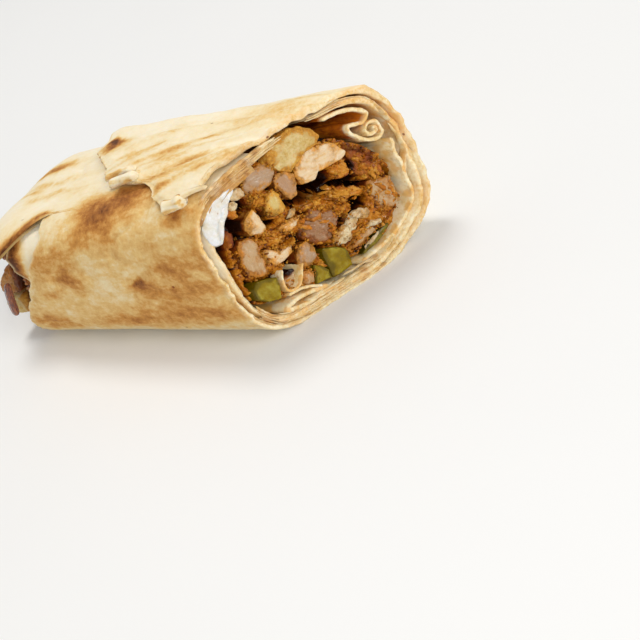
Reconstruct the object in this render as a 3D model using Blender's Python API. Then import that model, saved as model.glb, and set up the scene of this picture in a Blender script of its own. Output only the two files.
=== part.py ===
"""Half of a flatbread rolled round chicken, potato, pickles and garlic sauce, cut slantwise.

The roll lies on its underside. +X runs along it to the cut, +Y is the far side and Z is up; the
origin is on the underside below the middle. Shapes are worked out in millimetres in an untapered
section (x along, p across, q up from the middle) and then carried to the tapered roll.
"""

import bpy
import numpy as np

MM = 0.001

# the roll
WIDTH = 62.0
HEIGHT = 55.0
LENGTH = 111.0
SQUARENESS = 3.8
END_WIDE = 1.02
END_HIGH = 0.74
TAPER_START = 10.0
TAPER_POWER = 0.6
DROOP = 0.04
MIDDLE = 61.0
REST = 0.9
CUT_TURN = np.radians(31.0)
CUT_LEAN = np.radians(6.0)

# the bread
SHEET = 1.5
PITCH = 2.0
FLAP_ANGLE = 138.0
ROLLED = 740.0
LAP = 0.9
LAP_SPAN = 110.0
LAP_START = 305.0
GAP = 0.35

# where each turn of the bread ends at the left: degrees rolled from the flap, mm along
LEFT_TURN = [0, 4, 14, 22, 26, 38, 50, 68, 82, 94, 138, 178, 228, 294, 304, 314, 326, 333, 344,
             355, 361, 374, 376, 382, 400, 430, 470, 520, 590, 640, 660, 680, 692, 700, 708, 740]
LEFT_EDGE = [80, 78, 75, 69, 56, 46, 41, 31, 32, 27, 14, 5, 0, 3, 6, 10, 13.6, 17, 20,
             24.5, 25.5, 24, -6, -9, -9, -7, -5, -2, 1, 5, 11, 16, 14, 9, 7, 7.5]

# corners of the room left for the filling, in the section
ROOM = np.array([
    (-8.5, 23.6), (7.5, 24.0), (22.6, 5.0), (23.8, 0.0), (23.3, -8.0), (21.5, -14.0),
    (17.5, -18.8), (9.0, -21.2), (-4.5, -21.4), (-19.0, -17.2), (-26.0, -13.0), (-26.0, -5.0),
    (-24.6, 2.0), (-22.6, 8.5), (-20.6, 13.5), (-17.4, 18.6), (-12.4, 21.9)])

BACK_OF_PIECES = 8.8
FRONT_OF_FILLING = 9.4
END_OF_PIECES = 3.0
START_OF_FILLING = 3.6

# pieces at the cut: name, how far its middle stands forward of the cut, how far it falls off
# to its rim, colour key, and the corners of its outline in the cut as (p, q)
CUT_PIECES = [
    ("potato_01", 0.5, 0.3, "potato", [(-3.0, 21.6), (0.0, 25.0), (3.4, 25.7), (7.0, 25.0),
        (9.2, 22.4), (10.6, 19.4), (9.0, 17.7), (4.6, 17.4), (2.1, 16.3), (0.5, 15.1),
        (-1.9, 17.3)]),
    ("chicken_01", 0.6, 0.4, "pale_meat", [(-0.1, 13.3), (2.2, 16.6), (5.8, 17.6), (9.4, 16.4),
        (12.3, 14.8), (14.4, 9.7), (12.4, 8.6), (8.7, 9.3), (4.8, 10.0), (3.6, 8.3), (-0.0, 9.7)]),
    ("chicken_02", 0.0, 0.6, "pink_meat", [(-11.2, 22.2), (-8.2, 22.7), (-4.7, 22.3), (-3.2, 20.1),
        (-3.5, 17.3), (-5.9, 15.4), (-8.8, 15.1), (-11.8, 16.9), (-12.4, 19.6)]),
    ("chicken_03", 0.3, 0.3, "pink_meat", [(-5.0, 16.5), (-3.4, 17.0), (-1.5, 15.9), (-0.0, 13.8),
        (-0.8, 10.9), (-2.2, 8.1), (-4.0, 7.8), (-4.9, 10.6), (-5.4, 14.3)]),
    ("chicken_04", 0.6, 0.9, "pale_meat", [(-16.8, 11.2), (-14.9, 12.4), (-13.4, 13.2),
        (-13.0, 10.3), (-13.0, 7.2), (-13.2, 5.1), (-14.9, 4.8), (-17.0, 6.3), (-17.6, 9.1)]),
    ("chicken_05", 0.0, 0.8, "pale_meat", [(-9.9, 2.4), (-8.0, 3.4), (-5.5, 2.7), (-3.5, 1.9),
        (-4.9, 0.3), (-7.2, -0.0), (-8.8, -0.2), (-10.0, 0.9)]),
    ("chicken_06", 0.5, 0.7, "grey_meat", [(-21.8, 6.0), (-20.2, 7.4), (-18.0, 6.5), (-16.7, 4.5),
        (-17.5, 1.1), (-18.3, -2.5), (-19.5, -6.5), (-21.7, -5.5), (-23.5, -2.9), (-23.4, 1.2)]),
    ("chicken_07", -0.3, 0.8, "pale_meat", [(-17.4, -0.8), (-15.7, -0.1), (-13.7, -2.4),
        (-11.5, -3.4), (-9.5, -3.5), (-10.8, -6.1), (-13.3, -7.1), (-15.7, -6.8), (-17.5, -4.1)]),
    ("chicken_08", 0.3, 0.6, "pink_meat", [(-10.6, -8.1), (-8.6, -5.3), (-6.5, -5.5), (-5.8, -8.8),
        (-6.3, -11.6), (-8.6, -13.0), (-10.5, -12.5), (-11.6, -10.7)]),
    ("chicken_09", -0.9, 0.6, "grey_meat", [(-17.6, -12.8), (-15.3, -11.2), (-12.7, -10.6),
        (-11.6, -11.8), (-12.4, -14.0), (-14.6, -15.3), (-16.6, -15.1)]),
    ("chicken_10", -0.2, 0.6, "grey_meat", [(-13.9, -15.5), (-11.7, -13.3), (-9.6, -13.6),
        (-9.0, -15.9), (-10.1, -19.0), (-12.2, -18.3)]),
    ("chicken_11", -0.3, 1.2, "roast_meat", [(-5.3, -1.5), (-3.3, 1.0), (-0.4, 1.2), (2.3, -0.7),
        (4.9, -3.5), (5.0, -6.8), (3.3, -9.1), (0.3, -10.5), (-3.0, -10.5), (-5.5, -8.3),
        (-6.0, -4.5)]),
    ("chicken_12", -0.6, 0.8, "tan_meat", [(9.1, 6.8), (10.9, 8.6), (13.3, 8.1), (14.4, 5.7),
        (14.2, 3.2), (12.3, 2.1), (9.9, 3.3)]),
    ("chicken_13", -0.9, 1.0, "roast_meat", [(16.2, 10.3), (18.2, 7.7), (20.7, 4.2), (21.9, -0.1),
        (21.9, -4.5), (19.3, -3.5), (16.1, -2.0), (15.6, 0.8), (15.4, 4.3)]),
    ("chicken_14", -0.4, 0.7, "grey_meat", [(16.0, -2.5), (19.0, -3.9), (21.9, -5.2),
        (21.7, -10.1), (20.6, -14.4), (18.3, -15.4), (16.2, -13.1), (15.0, -9.2), (15.1, -5.6)]),
    ("chicken_15", -0.8, 0.9, "tan_meat", [(8.7, -10.4), (11.9, -9.5), (14.0, -10.5),
        (15.4, -14.0), (14.8, -17.2), (11.6, -16.1), (8.8, -14.4)]),
    ("chicken_16", -0.6, 0.6, "grey_meat", [(2.6, -17.1), (4.8, -15.7), (7.9, -14.7),
        (10.9, -15.6), (12.2, -16.6), (9.6, -17.8), (6.2, -18.3), (3.6, -18.2)]),
    ("roast_bit_01", -0.5, 1.2, "gold_meat", [(-3.4, 5.3), (-0.6, 5.8), (2.5, 4.2), (4.5, 1.9),
        (4.3, -0.2), (1.6, 0.5), (-0.9, 2.4), (-3.4, 2.6)]),
    ("roast_bit_02", -0.2, 1.2, "gold_meat", [(5.1, 0.8), (6.8, 2.3), (9.9, 1.1), (12.8, -1.2),
        (14.4, -4.2), (13.2, -5.6), (10.3, -3.8), (6.4, -2.0)]),
    ("roast_bit_03", -1.0, 1.2, "gold_meat", [(4.1, -1.9), (6.8, -3.0), (9.1, -5.1), (9.8, -7.1),
        (8.5, -9.6), (6.1, -7.1), (4.3, -4.2)]),
    ("roast_bit_04", -1.0, 1.0, "gold_meat", [(-12.2, 15.9), (-9.4, 14.8), (-8.3, 13.5),
        (-9.7, 11.5), (-10.6, 9.5), (-11.4, 11.2), (-12.2, 13.6)]),
    ("roast_bit_05", -1.1, 1.2, "gold_meat", [(-15.0, 3.6), (-12.5, 3.6), (-9.8, 1.7),
        (-8.3, -1.3), (-9.1, -3.3), (-11.7, -3.0), (-14.1, -0.9), (-15.7, 1.4)]),
    ("roast_bit_06", -0.3, 0.8, "tan_meat", [(-19.0, 15.4), (-17.9, 17.2), (-16.4, 17.2),
        (-15.9, 15.4), (-16.8, 13.4), (-18.2, 13.8)]),
    ("fat_01", 0.1, 0.6, "fat", [(-10.2, 11.2), (-8.4, 13.4), (-6.4, 14.2), (-5.4, 11.1),
        (-5.7, 7.8), (-7.1, 5.9), (-9.0, 6.3), (-10.5, 8.4)]),
    ("creamy_bit_01", -0.2, 1.0, "cream", [(-0.2, -11.9), (1.8, -9.9), (4.1, -9.4), (6.9, -10.2),
        (8.4, -12.5), (6.0, -14.3), (2.9, -15.0), (0.6, -14.2)]),
    ("meat_strip_01", -0.4, 0.6, "tan_meat", [(-22.4, 9.6), (-21.4, 11.8), (-20.2, 13.2),
        (-19.2, 13.0), (-19.4, 11.0), (-20.2, 8.0), (-21.4, 5.4), (-22.8, 5.8), (-23.2, 7.4)]),
    ("pickle_01", 0.6, 0.3, "pickle", [(-25.0, -7.4), (-23.2, -5.9), (-20.4, -7.3), (-18.2, -8.9),
        (-18.8, -11.8), (-20.4, -15.4), (-23.6, -13.6), (-25.5, -11.0)]),
    ("pickle_02", 0.6, 0.4, "pickle", [(-4.3, -10.8), (-1.3, -12.8), (0.8, -15.3), (0.6, -18.7),
        (-0.4, -21.8), (-3.3, -21.9), (-6.2, -21.3), (-5.4, -17.7), (-5.0, -13.7)]),
    ("pickle_03", 0.1, 0.4, "pickle", [(-8.3, -13.5), (-6.7, -15.3), (-5.7, -17.9), (-6.3, -21.1),
        (-8.3, -20.9), (-9.7, -21.6), (-10.6, -19.8), (-9.2, -16.7)]),
    ("pickle_04", -0.1, 0.5, "dark_pickle", [(3.6, -21.2), (6.6, -19.6), (10.6, -18.2),
        (14.2, -17.7), (15.6, -17.9), (12.5, -20.2), (9.2, -21.2), (6.3, -21.6), (4.2, -21.6)]),
]

# pieces in the open left end: name, p, q, half length, half height, turn, middle x,
# half depth, bluntness, roughness, colour key
END_PIECES = [
    ("end_chicken_01", -19.0, 3.4, 8.6, 7.0, 14, -4.6, 7.6, 2.6, 0.10, "pink_meat"),
    ("end_chicken_02", -14.6, 14.0, 7.0, 4.6, 30, -2.4, 6.2, 2.4, 0.14, "roast_meat"),
    ("end_chicken_03", 2.0, 12.4, 8.8, 6.6, 15, 0.0, 5.0, 2.4, 0.12, "tan_meat"),
    ("end_chicken_04", 14.2, 1.0, 8.8, 7.6, -60, 0.0, 5.0, 2.6, 0.12, "grey_meat"),
    ("end_chicken_05", -3.0, -1.6, 8.2, 6.4, 10, -1.4, 5.6, 2.4, 0.12, "gold_meat"),
    ("end_chicken_06", 6.0, -12.6, 9.6, 6.2, -8, 0.2, 4.8, 2.4, 0.10, "grey_meat"),
    ("end_potato_01", -18.6, -9.6, 8.4, 6.4, 4, -5.4, 7.8, 3.2, 0.06, "potato"),
]

COLOURS = {
    "bread": ((0.82, 0.62, 0.36), 0.75), "pale_bread": ((0.87, 0.74, 0.50), 0.8),
    "filling": ((0.30, 0.13, 0.05), 0.6), "pale_meat": ((0.76, 0.57, 0.40), 0.45),
    "pink_meat": ((0.60, 0.40, 0.30), 0.45), "grey_meat": ((0.58, 0.44, 0.34), 0.45),
    "tan_meat": ((0.50, 0.31, 0.15), 0.5), "roast_meat": ((0.30, 0.10, 0.04), 0.4),
    "gold_meat": ((0.56, 0.28, 0.08), 0.45), "fat": ((0.62, 0.50, 0.26), 0.3),
    "cream": ((0.74, 0.62, 0.46), 0.45), "potato": ((0.70, 0.52, 0.22), 0.5),
    "pickle": ((0.32, 0.33, 0.05), 0.25), "dark_pickle": ((0.16, 0.17, 0.03), 0.25),
    "sauce": ((0.86, 0.83, 0.76), 0.3), "onion": ((0.22, 0.04, 0.02), 0.2),
}

CUT_N = np.array([np.cos(CUT_TURN) * np.cos(CUT_LEAN),
                  -np.sin(CUT_TURN) * np.cos(CUT_LEAN), np.sin(CUT_LEAN)])
CUT_U = np.array([np.sin(CUT_TURN), np.cos(CUT_TURN), 0.0])
CUT_V = np.cross(CUT_N, CUT_U)


def ease(value, low, high):
    """Smooth step from 0 at low to 1 at high."""
    t = np.clip((np.asarray(value, float) - low) / (high - low), 0.0, 1.0)
    return t * t * (3.0 - 2.0 * t)


def place(points):
    """Section points (x, p, q) carried to the tapered roll lying on the floor, in metres.

    The share of full size grows as a power of the distance from the left; p and q scale with
    it, the underside stays on the floor and its lowest skin is pressed flat.
    """
    x, p, q = points[..., 0], points[..., 1], points[..., 2]
    grown = np.clip((x + TAPER_START) / (LENGTH + TAPER_START), 0.0, 1.0) ** TAPER_POWER
    y = p * (END_WIDE + (1.0 - END_WIDE) * grown)
    high = END_HIGH + (1.0 - END_HIGH) * grown - DROOP * (1.0 - ease(x, -10.0, 8.0))
    z = (q + HEIGHT / 2) * high
    z = np.maximum(z, REST) - REST
    return np.stack([x - MIDDLE, y, z], axis=-1) * MM


def outline(angle, inset):
    """Radius of the rounded-square section at an angle, with its sides moved in by inset."""
    wide, high = WIDTH / 2 - inset, HEIGHT / 2 - inset
    across = np.abs(np.cos(angle) / wide) ** SQUARENESS
    return (across + np.abs(np.sin(angle) / high) ** SQUARENESS) ** (-1.0 / SQUARENESS)


def cut_x(p, q):
    """x of the slanting cut at (p, q)."""
    return LENGTH - (CUT_N[1] * p + CUT_N[2] * q) / CUT_N[0]


def sway(degrees, x):
    """Gentle unevenness shared by all turns, fading out on the underside."""
    a = np.radians(degrees)
    wave = 0.35 * np.sin(2 * a + 0.035 * x + 1.0) + 0.25 * np.sin(3 * a - 0.05 * x)
    d = wrapped(degrees)
    near_cut = ease(x, 60.0, 100.0)
    swell = 1.7 * np.exp(-((d - 10.0) / 17.0) ** 2) - 1.7 * np.exp(-((d + 47.0) / 15.0) ** 2)
    swell = swell - 1.0 * np.exp(-((d - 58.0) / 13.0) ** 2)
    return wave * ease(np.sin(a), -0.95, -0.4) + swell * near_cut


def bell(value, width):
    """Bell curve: e to the minus square of value over width."""
    return np.exp(-(value / width) ** 2)


def torn_back(turned):
    """How far behind the cut the bread ends: the flap's start, and the turn over the potato."""
    over_potato = ease(turned, 396.0, 401.0) * (1.0 - ease(turned, 432.0, 437.0))
    return 4.2 * bell(turned - 22.0, 14.0) + 12.0 * over_potato


def slack(degrees, x):
    """How far the inner turns sag from the flap where it starts, near the cut."""
    return 0.5 * np.exp(-((wrapped(degrees) - 112.0) / 14.0) ** 2) * ease(x, 78.0, 92.0)


def wrapped(degrees):
    """Angle brought between -180 and 180."""
    return (degrees + 180.0) % 360.0 - 180.0


def shell(outer, inner):
    """Closed solid between two grids of points that share their edges' order."""
    rows, cols = outer.shape[:2]
    index = np.arange(rows * cols).reshape(rows, cols)
    other = index + rows * cols

    def quads(a, b, c, d):
        return np.stack([a, b, c, d], axis=-1).reshape(-1, 4)

    faces = [
        quads(index[:-1, :-1], index[1:, :-1], index[1:, 1:], index[:-1, 1:]),
        quads(other[:-1, :-1], other[:-1, 1:], other[1:, 1:], other[1:, :-1]),
        quads(index[:-1, 0], other[:-1, 0], other[1:, 0], index[1:, 0]),
        quads(index[:-1, -1], index[1:, -1], other[1:, -1], other[:-1, -1]),
        quads(index[0, :-1], index[0, 1:], other[0, 1:], other[0, :-1]),
        quads(index[-1, :-1], other[-1, :-1], other[-1, 1:], index[-1, 1:]),
    ]
    points = np.concatenate([outer.reshape(-1, 3), inner.reshape(-1, 3)])
    return points, np.concatenate(faces)


def make(name, points, faces, colour):
    """Mesh object from section points and faces, wound so that it faces out."""
    placed = place(points)
    tri = np.concatenate([faces[:, [0, 1, 2]], faces[:, [0, 2, 3]]]) if faces.shape[1] == 4 \
        else faces
    a, b, c = placed[tri[:, 0]], placed[tri[:, 1]], placed[tri[:, 2]]
    if np.einsum("ij,ij->", a, np.cross(b, c)) < 0:
        faces = faces[:, ::-1]
    mesh = bpy.data.meshes.new(name)
    rows = [tuple(dict.fromkeys(row)) for row in faces.tolist()]
    mesh.from_pydata(placed.tolist(), [], rows)
    mesh.update()
    rgb, rough = COLOURS[colour]
    material = bpy.data.materials.new(name)
    material.use_nodes = True
    shader = material.node_tree.nodes["Principled BSDF"]
    shader.inputs["Base Color"].default_value = (*rgb, 1.0)
    shader.inputs["Roughness"].default_value = rough
    mesh.materials.append(material)
    piece = bpy.data.objects.new(name, mesh)
    bpy.context.scene.collection.objects.link(piece)
    return piece


def turn_inset(turned):
    """How far in the bread's outer face lies after so many degrees of rolling.

    A turn stands one pitch inside the last; the flap's start stands proud and the end of
    each turn sinks to pass beneath it.
    """
    turn = np.floor(turned / 360.0)
    within = turned - 360.0 * turn
    proud = -LAP * (1.0 - ease(within, 0.0, LAP_SPAN))
    return PITCH * turn + proud + (PITCH - LAP) * ease(within, LAP_START, 360.0)


def wall(degrees, x):
    """Radius of the innermost bread's inner face, less a gap."""
    turned = FLAP_ANGLE - wrapped(degrees)
    turned = turned + np.where(turned < 0, 720.0, 360.0)
    turned = turned + np.where(turned <= ROLLED - 352.0, 360.0, 0.0)
    inset = turn_inset(turned) + SHEET + GAP
    return outline(np.radians(degrees), inset) + sway(degrees, x) - slack(degrees, x)


def stations(low, high):
    """Angles along the rolled sheet, closer together where the section turns a corner."""
    out = [low]
    while out[-1] < high - 3.0:
        corner = np.abs(np.abs(wrapped(FLAP_ANGLE - out[-1] - 2.0)) - np.array([41.6, 138.4]))
        out.append(out[-1] + (4.5 if corner.min() < 16.0 else 11.0))
    return out[:-1]


def flatbread():
    """The rolled sheet: a spiral in the section, from a left edge to the slanting cut."""
    turned = np.concatenate([np.arange(0.0, 112.0, 3.5), stations(112.0, 360.0),
                             [361.0, 368.0, 374.0, 376.0, 380.0, 385.0, 390.0, 396.0, 401.0,
                              412.0, 423.0, 432.0, 437.0], stations(447.0, ROLLED), [ROLLED]])
    along = np.array([0.0, 0.04, 0.10, 0.19, 0.29, 0.39, 0.50, 0.61, 0.72, 0.82, 0.91, 1.0])
    turned, along = np.meshgrid(turned, along, indexing="ij")
    inset = turn_inset(turned)
    left = np.interp(turned, LEFT_TURN, LEFT_EDGE)
    left = left + 0.7 * np.sin(turned * 0.31) * np.cos(turned * 0.13)
    x = left + (95.0 - left) * along
    for _ in range(3):
        slant = (5.0 + 6.0 * ease(x, 82.0, 95.0)) * np.exp(-(turned / 9.0) ** 2)
        hang = 26.0 * ease(24.0 - x, 0.0, 22.0) * np.exp(-np.abs(turned - 376.0) / 14.0)
        degrees = FLAP_ANGLE - turned - slant + hang * (turned > 375.0)
        angle = np.radians(degrees)
        r = outline(angle, inset)
        sag = 3.4 * np.exp(-((wrapped(degrees) + 82.0) / 23.0) ** 2)
        right = cut_x(r * np.cos(angle), r * np.sin(angle)) + sag - torn_back(turned)
        x = left + (right - left) * along
    on_flap = 1.0 - ease(turned, 95.0, 125.0)
    drift = degrees + 0.62 * np.clip((degrees - 62.0) / 42.0, 0.0, 1.0) * (x - 80.0)
    pleat = 0.42 * (1 + np.cos(np.radians(drift * 360.0 / 14.0)))
    pleat = pleat + 0.22 * (1 + np.cos(np.radians(drift * 360.0 / 31.0 + 40.0)))
    puff = 1.9 * np.exp(-((degrees - 60.0) / 26.0) ** 2) * np.exp(-((x - 58.0) / 30.0) ** 2)
    puff = puff + 1.7 * np.exp(-((degrees - 54.0) / 15.0) ** 2) * np.exp(-((x - 34.0) / 9.0) ** 2)
    pleat = pleat + puff
    lip = 1.9 * np.exp(-(turned / 3.6) ** 2) * np.exp(-((x - 83.0) / 5.5) ** 2)
    rim = np.exp(-((x - left) / 2.2) ** 2)
    lip = lip + 1.8 * rim * np.exp(-((degrees - 106.0) / 9.0) ** 2) * on_flap
    lift = sway(degrees, x)
    loose = slack(degrees, x) * (turned > 359.0)
    hood = 1.4 * (turned > 375.0) * (1.0 - ease(turned, 400.0, 420.0)) * (1.0 - ease(x, -6.0, 18.0))
    tuck = bell(degrees - 124.0, 7.0) * 1.2 - 3.2 * ease(degrees, 126.0, 148.0)
    tuck = tuck * (turned > 375.0) * (turned < 420.0) * (1.0 - ease(x, -4.0, 7.0))
    lift = lift - loose + hood + tuck
    outer = r + lift + on_flap * pleat + lip
    sheet = SHEET + 0.35 * lip
    inner = outline(angle, inset + SHEET) + lift + 0.75 * lip
    inner = inner + on_flap * (0.5 * (pleat - puff) + puff)
    inner = np.minimum(inner, outer - 0.8 * sheet)
    points = [np.stack([x, s * np.cos(angle), s * np.sin(angle)], axis=-1)
              for s in (outer, inner)]
    return make("flatbread", *shell(*points), "bread")


def smooth_path(corners, count):
    """Path of count points through the corners, by Catmull-Rom curves."""
    c = np.asarray(corners, float)
    c = np.vstack([2 * c[0] - c[1], c, 2 * c[-1] - c[-2]])
    s = np.linspace(0.0, len(c) - 3 - 1e-6, count)
    i = s.astype(int)
    t = (s - i)[:, None]
    a, b, d, e = c[i], c[i + 1], c[i + 2], c[i + 3]
    return 0.5 * (2 * b + (d - a) * t + (2 * a - 5 * b + 4 * d - e) * t ** 2
                  + (3 * b - a - 3 * d + e) * t ** 3)


def fold(name, corners, count, start, thick, forward):
    """A strip of bread whose section follows a path, run along the roll to the cut."""
    path = smooth_path(corners, count)
    degrees = np.degrees(np.arctan2(path[:, 1], path[:, 0]))
    room = np.min([wall(degrees, x) for x in (20.0, 50.0, 80.0, 110.0)], axis=0) - 0.55 * thick
    path *= np.minimum(1.0, room / np.linalg.norm(path, axis=1))[:, None]
    tangent = np.gradient(path, axis=0)
    tangent /= np.linalg.norm(tangent, axis=1)[:, None]
    across = np.stack([-tangent[:, 1], tangent[:, 0]], axis=1) * thick / 2
    grids = []
    for side in (1.0, -1.0):
        edge = path + side * across
        right = cut_x(path[:, 0], path[:, 1]) + forward
        share = np.array([0.0, 0.25, 0.5, 0.75, 1.0])
        x = start + (right[:, None] - start) * share
        flat = np.broadcast_to(edge[:, None, :], (count, len(share), 2))
        grids.append(np.concatenate([x[..., None], flat], axis=-1))
    return make(name, *shell(*grids), "pale_bread")


def room_radius(angle, inset):
    """Radius of the filling's room at an angle, each wall moved in by inset."""
    ahead = np.roll(ROOM, -1, axis=0)
    edge = ahead - ROOM
    normal = np.stack([-edge[:, 1], edge[:, 0]], axis=1)
    normal /= np.linalg.norm(normal, axis=1)[:, None]
    normal *= np.sign(np.einsum("ij,ij->i", normal, ROOM))[:, None]
    reach = np.einsum("ij,ij->i", normal, ROOM) - inset
    facing = np.cos(angle)[..., None] * normal[:, 0] + np.sin(angle)[..., None] * normal[:, 1]
    return np.where(facing > 1e-3, reach / np.maximum(facing, 1e-3), 1e9).min(axis=-1)


def sauce():
    """Band of sauce between the bread and the filling on the near side."""
    degrees = np.linspace(126.0, 164.0, 12)
    angle = np.radians(degrees)
    start = 16.0
    share = np.linspace(0.0, 1.0, 6)
    inside = room_radius(angle, 0.0) + GAP
    right = cut_x(inside * np.cos(angle), inside * np.sin(angle)) - 0.2
    x = start + (right[:, None] - start) * share
    inside = np.broadcast_to(inside[:, None], x.shape)
    outside = np.maximum(wall(degrees[:, None], x) - 0.3, inside + 0.4)
    turn = angle[:, None]
    grids = [np.stack([x, r * np.cos(turn), r * np.sin(turn)], axis=-1)
             for r in (outside, inside)]
    return make("garlic_sauce", *shell(*grids), "sauce")


def closed_rings(rings, first, last):
    """Points and triangles of a body made of rings, closed by a point at either end."""
    count, sides = rings.shape[:2]
    points = np.concatenate([rings.reshape(-1, 3), [first, last]])
    index = np.arange(count * sides).reshape(count, sides)
    near, far = index[:-1], index[1:]
    turn = np.roll(near, -1, axis=1), np.roll(far, -1, axis=1)
    quads = np.stack([near, turn[0], turn[1], far], axis=-1).reshape(-1, 4)
    tris = np.concatenate([quads[:, [0, 1, 2]], quads[:, [0, 2, 3]]])
    a, b = count * sides, count * sides + 1
    start, end = index[0], index[-1]
    caps = [np.stack([np.full(sides, a), np.roll(start, -1), start], axis=-1),
            np.stack([np.full(sides, b), end, np.roll(end, -1)], axis=-1)]
    return points, np.concatenate([tris, *caps])


def filling():
    """The packed meat behind the pieces: it fills its room with a crumbled surface."""
    sides = 30
    angle = np.linspace(0.0, 2 * np.pi, sides, endpoint=False)
    share = np.array([0.0, 0.0, 0.05, 0.14, 0.25, 0.37, 0.50, 0.62, 0.74, 0.85, 0.95, 1.0, 1.0])
    scale = np.array([0.45, 0.86, 0.97, 1, 1, 1, 1, 1, 1, 1, 1, 0.86, 0.45])
    a, s = np.meshgrid(angle, share, indexing="xy")
    bumps = np.sin(3 * a + 9 * s) * np.cos(5 * a - 14 * s) + np.sin(7 * a + 31 * s)
    r = room_radius(a, GAP) * scale[:, None] - 0.55 * (1.0 + 0.5 * bumps) * (scale > 0.9)[:, None]
    p, q = r * np.cos(a), r * np.sin(a)
    dent = 1.2 * (1.0 + np.sin(3 * a + 1.0) * np.cos(4.0 * scale[:, None])) * (s > 0.9)
    right = cut_x(p, q) - (FRONT_OF_FILLING + dent) / CUT_N[0]
    x = START_OF_FILLING + (right - START_OF_FILLING) * s
    rings = np.stack([x, p, q], axis=-1)
    first = (START_OF_FILLING + 0.6, 0.0, 0.0)
    last = (LENGTH - (FRONT_OF_FILLING + 1.5) / CUT_N[0], 0.0, 0.0)
    return make("chicken_filling", *closed_rings(rings, first, last), "filling")


def frame_of(turn, u, v, n):
    """Axes of a piece: its long side turned from u towards v, its depth along n."""
    t = np.radians(turn)
    return np.stack([np.cos(t) * u + np.sin(t) * v, np.cos(t) * v - np.sin(t) * u, n])


def divider(one, two):
    """Plane between two pieces, sharing the space by their sizes: normal and offset."""
    (c1, f1, h1), (c2, f2, h2) = one, two
    m1 = (f1.T * h1 ** 2) @ f1
    m2 = (f2.T * h2 ** 2) @ f2
    normal = np.linalg.solve(m1 + m2, c2 - c1)
    normal /= np.linalg.norm(normal)
    s1, s2 = np.sqrt(normal @ m1 @ normal), np.sqrt(normal @ m2 @ normal)
    return normal, normal @ c1 + (normal @ (c2 - c1)) * s1 / (s1 + s2)


def room_planes():
    """The walls of the filling's room as planes along the roll."""
    ahead = np.roll(ROOM, -1, axis=0)
    edge = ahead - ROOM
    normal = np.stack([np.zeros(len(ROOM)), -edge[:, 1], edge[:, 0]], axis=1)
    normal /= np.linalg.norm(normal, axis=1)[:, None]
    normal *= np.sign(np.einsum("ij,ij->i", normal[:, 1:], ROOM))[:, None]
    return [(n, n[1:] @ corner) for n, corner in zip(normal, ROOM)]


def trimmed_piece(centre, axes, half, blunt, rough, planes, seed, chips, rings=6, sides=12):
    """A blunt ellipsoid trimmed flat by planes, as rings about its depth axis.

    In each direction the radius is the ellipsoid's or the distance to the first plane,
    whichever is less; seeded chips cut flats off its sides and a seeded sum of waves then
    only takes away from it.
    """
    rise = np.linspace(0.0, np.pi, rings + 2)
    around = np.linspace(0.0, 2 * np.pi, sides, endpoint=False)
    r, a = np.meshgrid(rise, around, indexing="ij")
    local = np.stack([np.sin(r) * np.cos(a), np.sin(r) * np.sin(a), -np.cos(r)], axis=-1)
    reach = (np.abs(local / half) ** blunt).sum(axis=-1) ** (-1.0 / blunt)
    world = local @ axes
    normals = np.array([n for n, _ in planes])
    offsets = np.array([o for _, o in planes]) - normals @ centre
    facing = world @ normals.T
    limit = np.where(facing > 1e-3, offsets / np.maximum(facing, 1e-3), 1e9).min(axis=-1)
    reach = np.minimum(reach, limit)
    waves = np.random.default_rng(seed)
    for _ in range(chips):
        normal = waves.normal(size=3) * (1.0, 1.0, 0.4)
        normal = normal / np.linalg.norm(normal)
        far = np.sqrt(((normal * half) ** 2).sum()) * waves.uniform(0.72, 0.92)
        facing = local @ normal
        reach = np.minimum(reach, np.where(facing > 1e-3, far / np.maximum(facing, 1e-3), 1e9))
    turn = waves.normal(size=(5, 3)) * 2.4
    shift = waves.uniform(0, 2 * np.pi, 5)
    bumps = 0.5 + 0.5 * np.sin(world @ turn.T + shift).mean(axis=-1)
    reach = reach * (1.0 - rough * bumps)
    points = centre + reach[..., None] * world
    return closed_rings(points[1:-1], points[0, 0], points[-1, 0])


def radius_of(corners, middle, angle):
    """Radius of an outline seen from its middle: the nearest side met at each angle, softened."""
    a = np.asarray(corners, float) - middle
    side = np.roll(a, -1, axis=0) - a
    fine = np.linspace(0.0, 2 * np.pi, 96, endpoint=False)
    d = np.stack([np.cos(fine), np.sin(fine)], axis=-1)[:, None, :]
    across = d[..., 0] * side[:, 1] - d[..., 1] * side[:, 0]
    across = np.where(np.abs(across) < 1e-9, 1e-9, across)
    reach = (a[:, 0] * side[:, 1] - a[:, 1] * side[:, 0]) / across
    share = (a[:, 0] * d[..., 1] - a[:, 1] * d[..., 0]) / across
    met = (reach > 0) & (share >= -1e-6) & (share <= 1.0 + 1e-6)
    r = np.where(met, reach, 1e9).min(axis=1)
    for _ in range(3):
        r = 0.25 * np.roll(r, 1) + 0.5 * r + 0.25 * np.roll(r, -1)
    return np.interp(angle, np.append(fine, 2 * np.pi), np.append(r, r[0]))


def middle_of(corners):
    """Centre of area of an outline."""
    a = np.asarray(corners, float)
    b = np.roll(a, -1, axis=0)
    cross = a[:, 0] * b[:, 1] - a[:, 1] * b[:, 0]
    return ((a + b) * cross[:, None]).sum(axis=0) / (3.0 * cross.sum())


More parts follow.
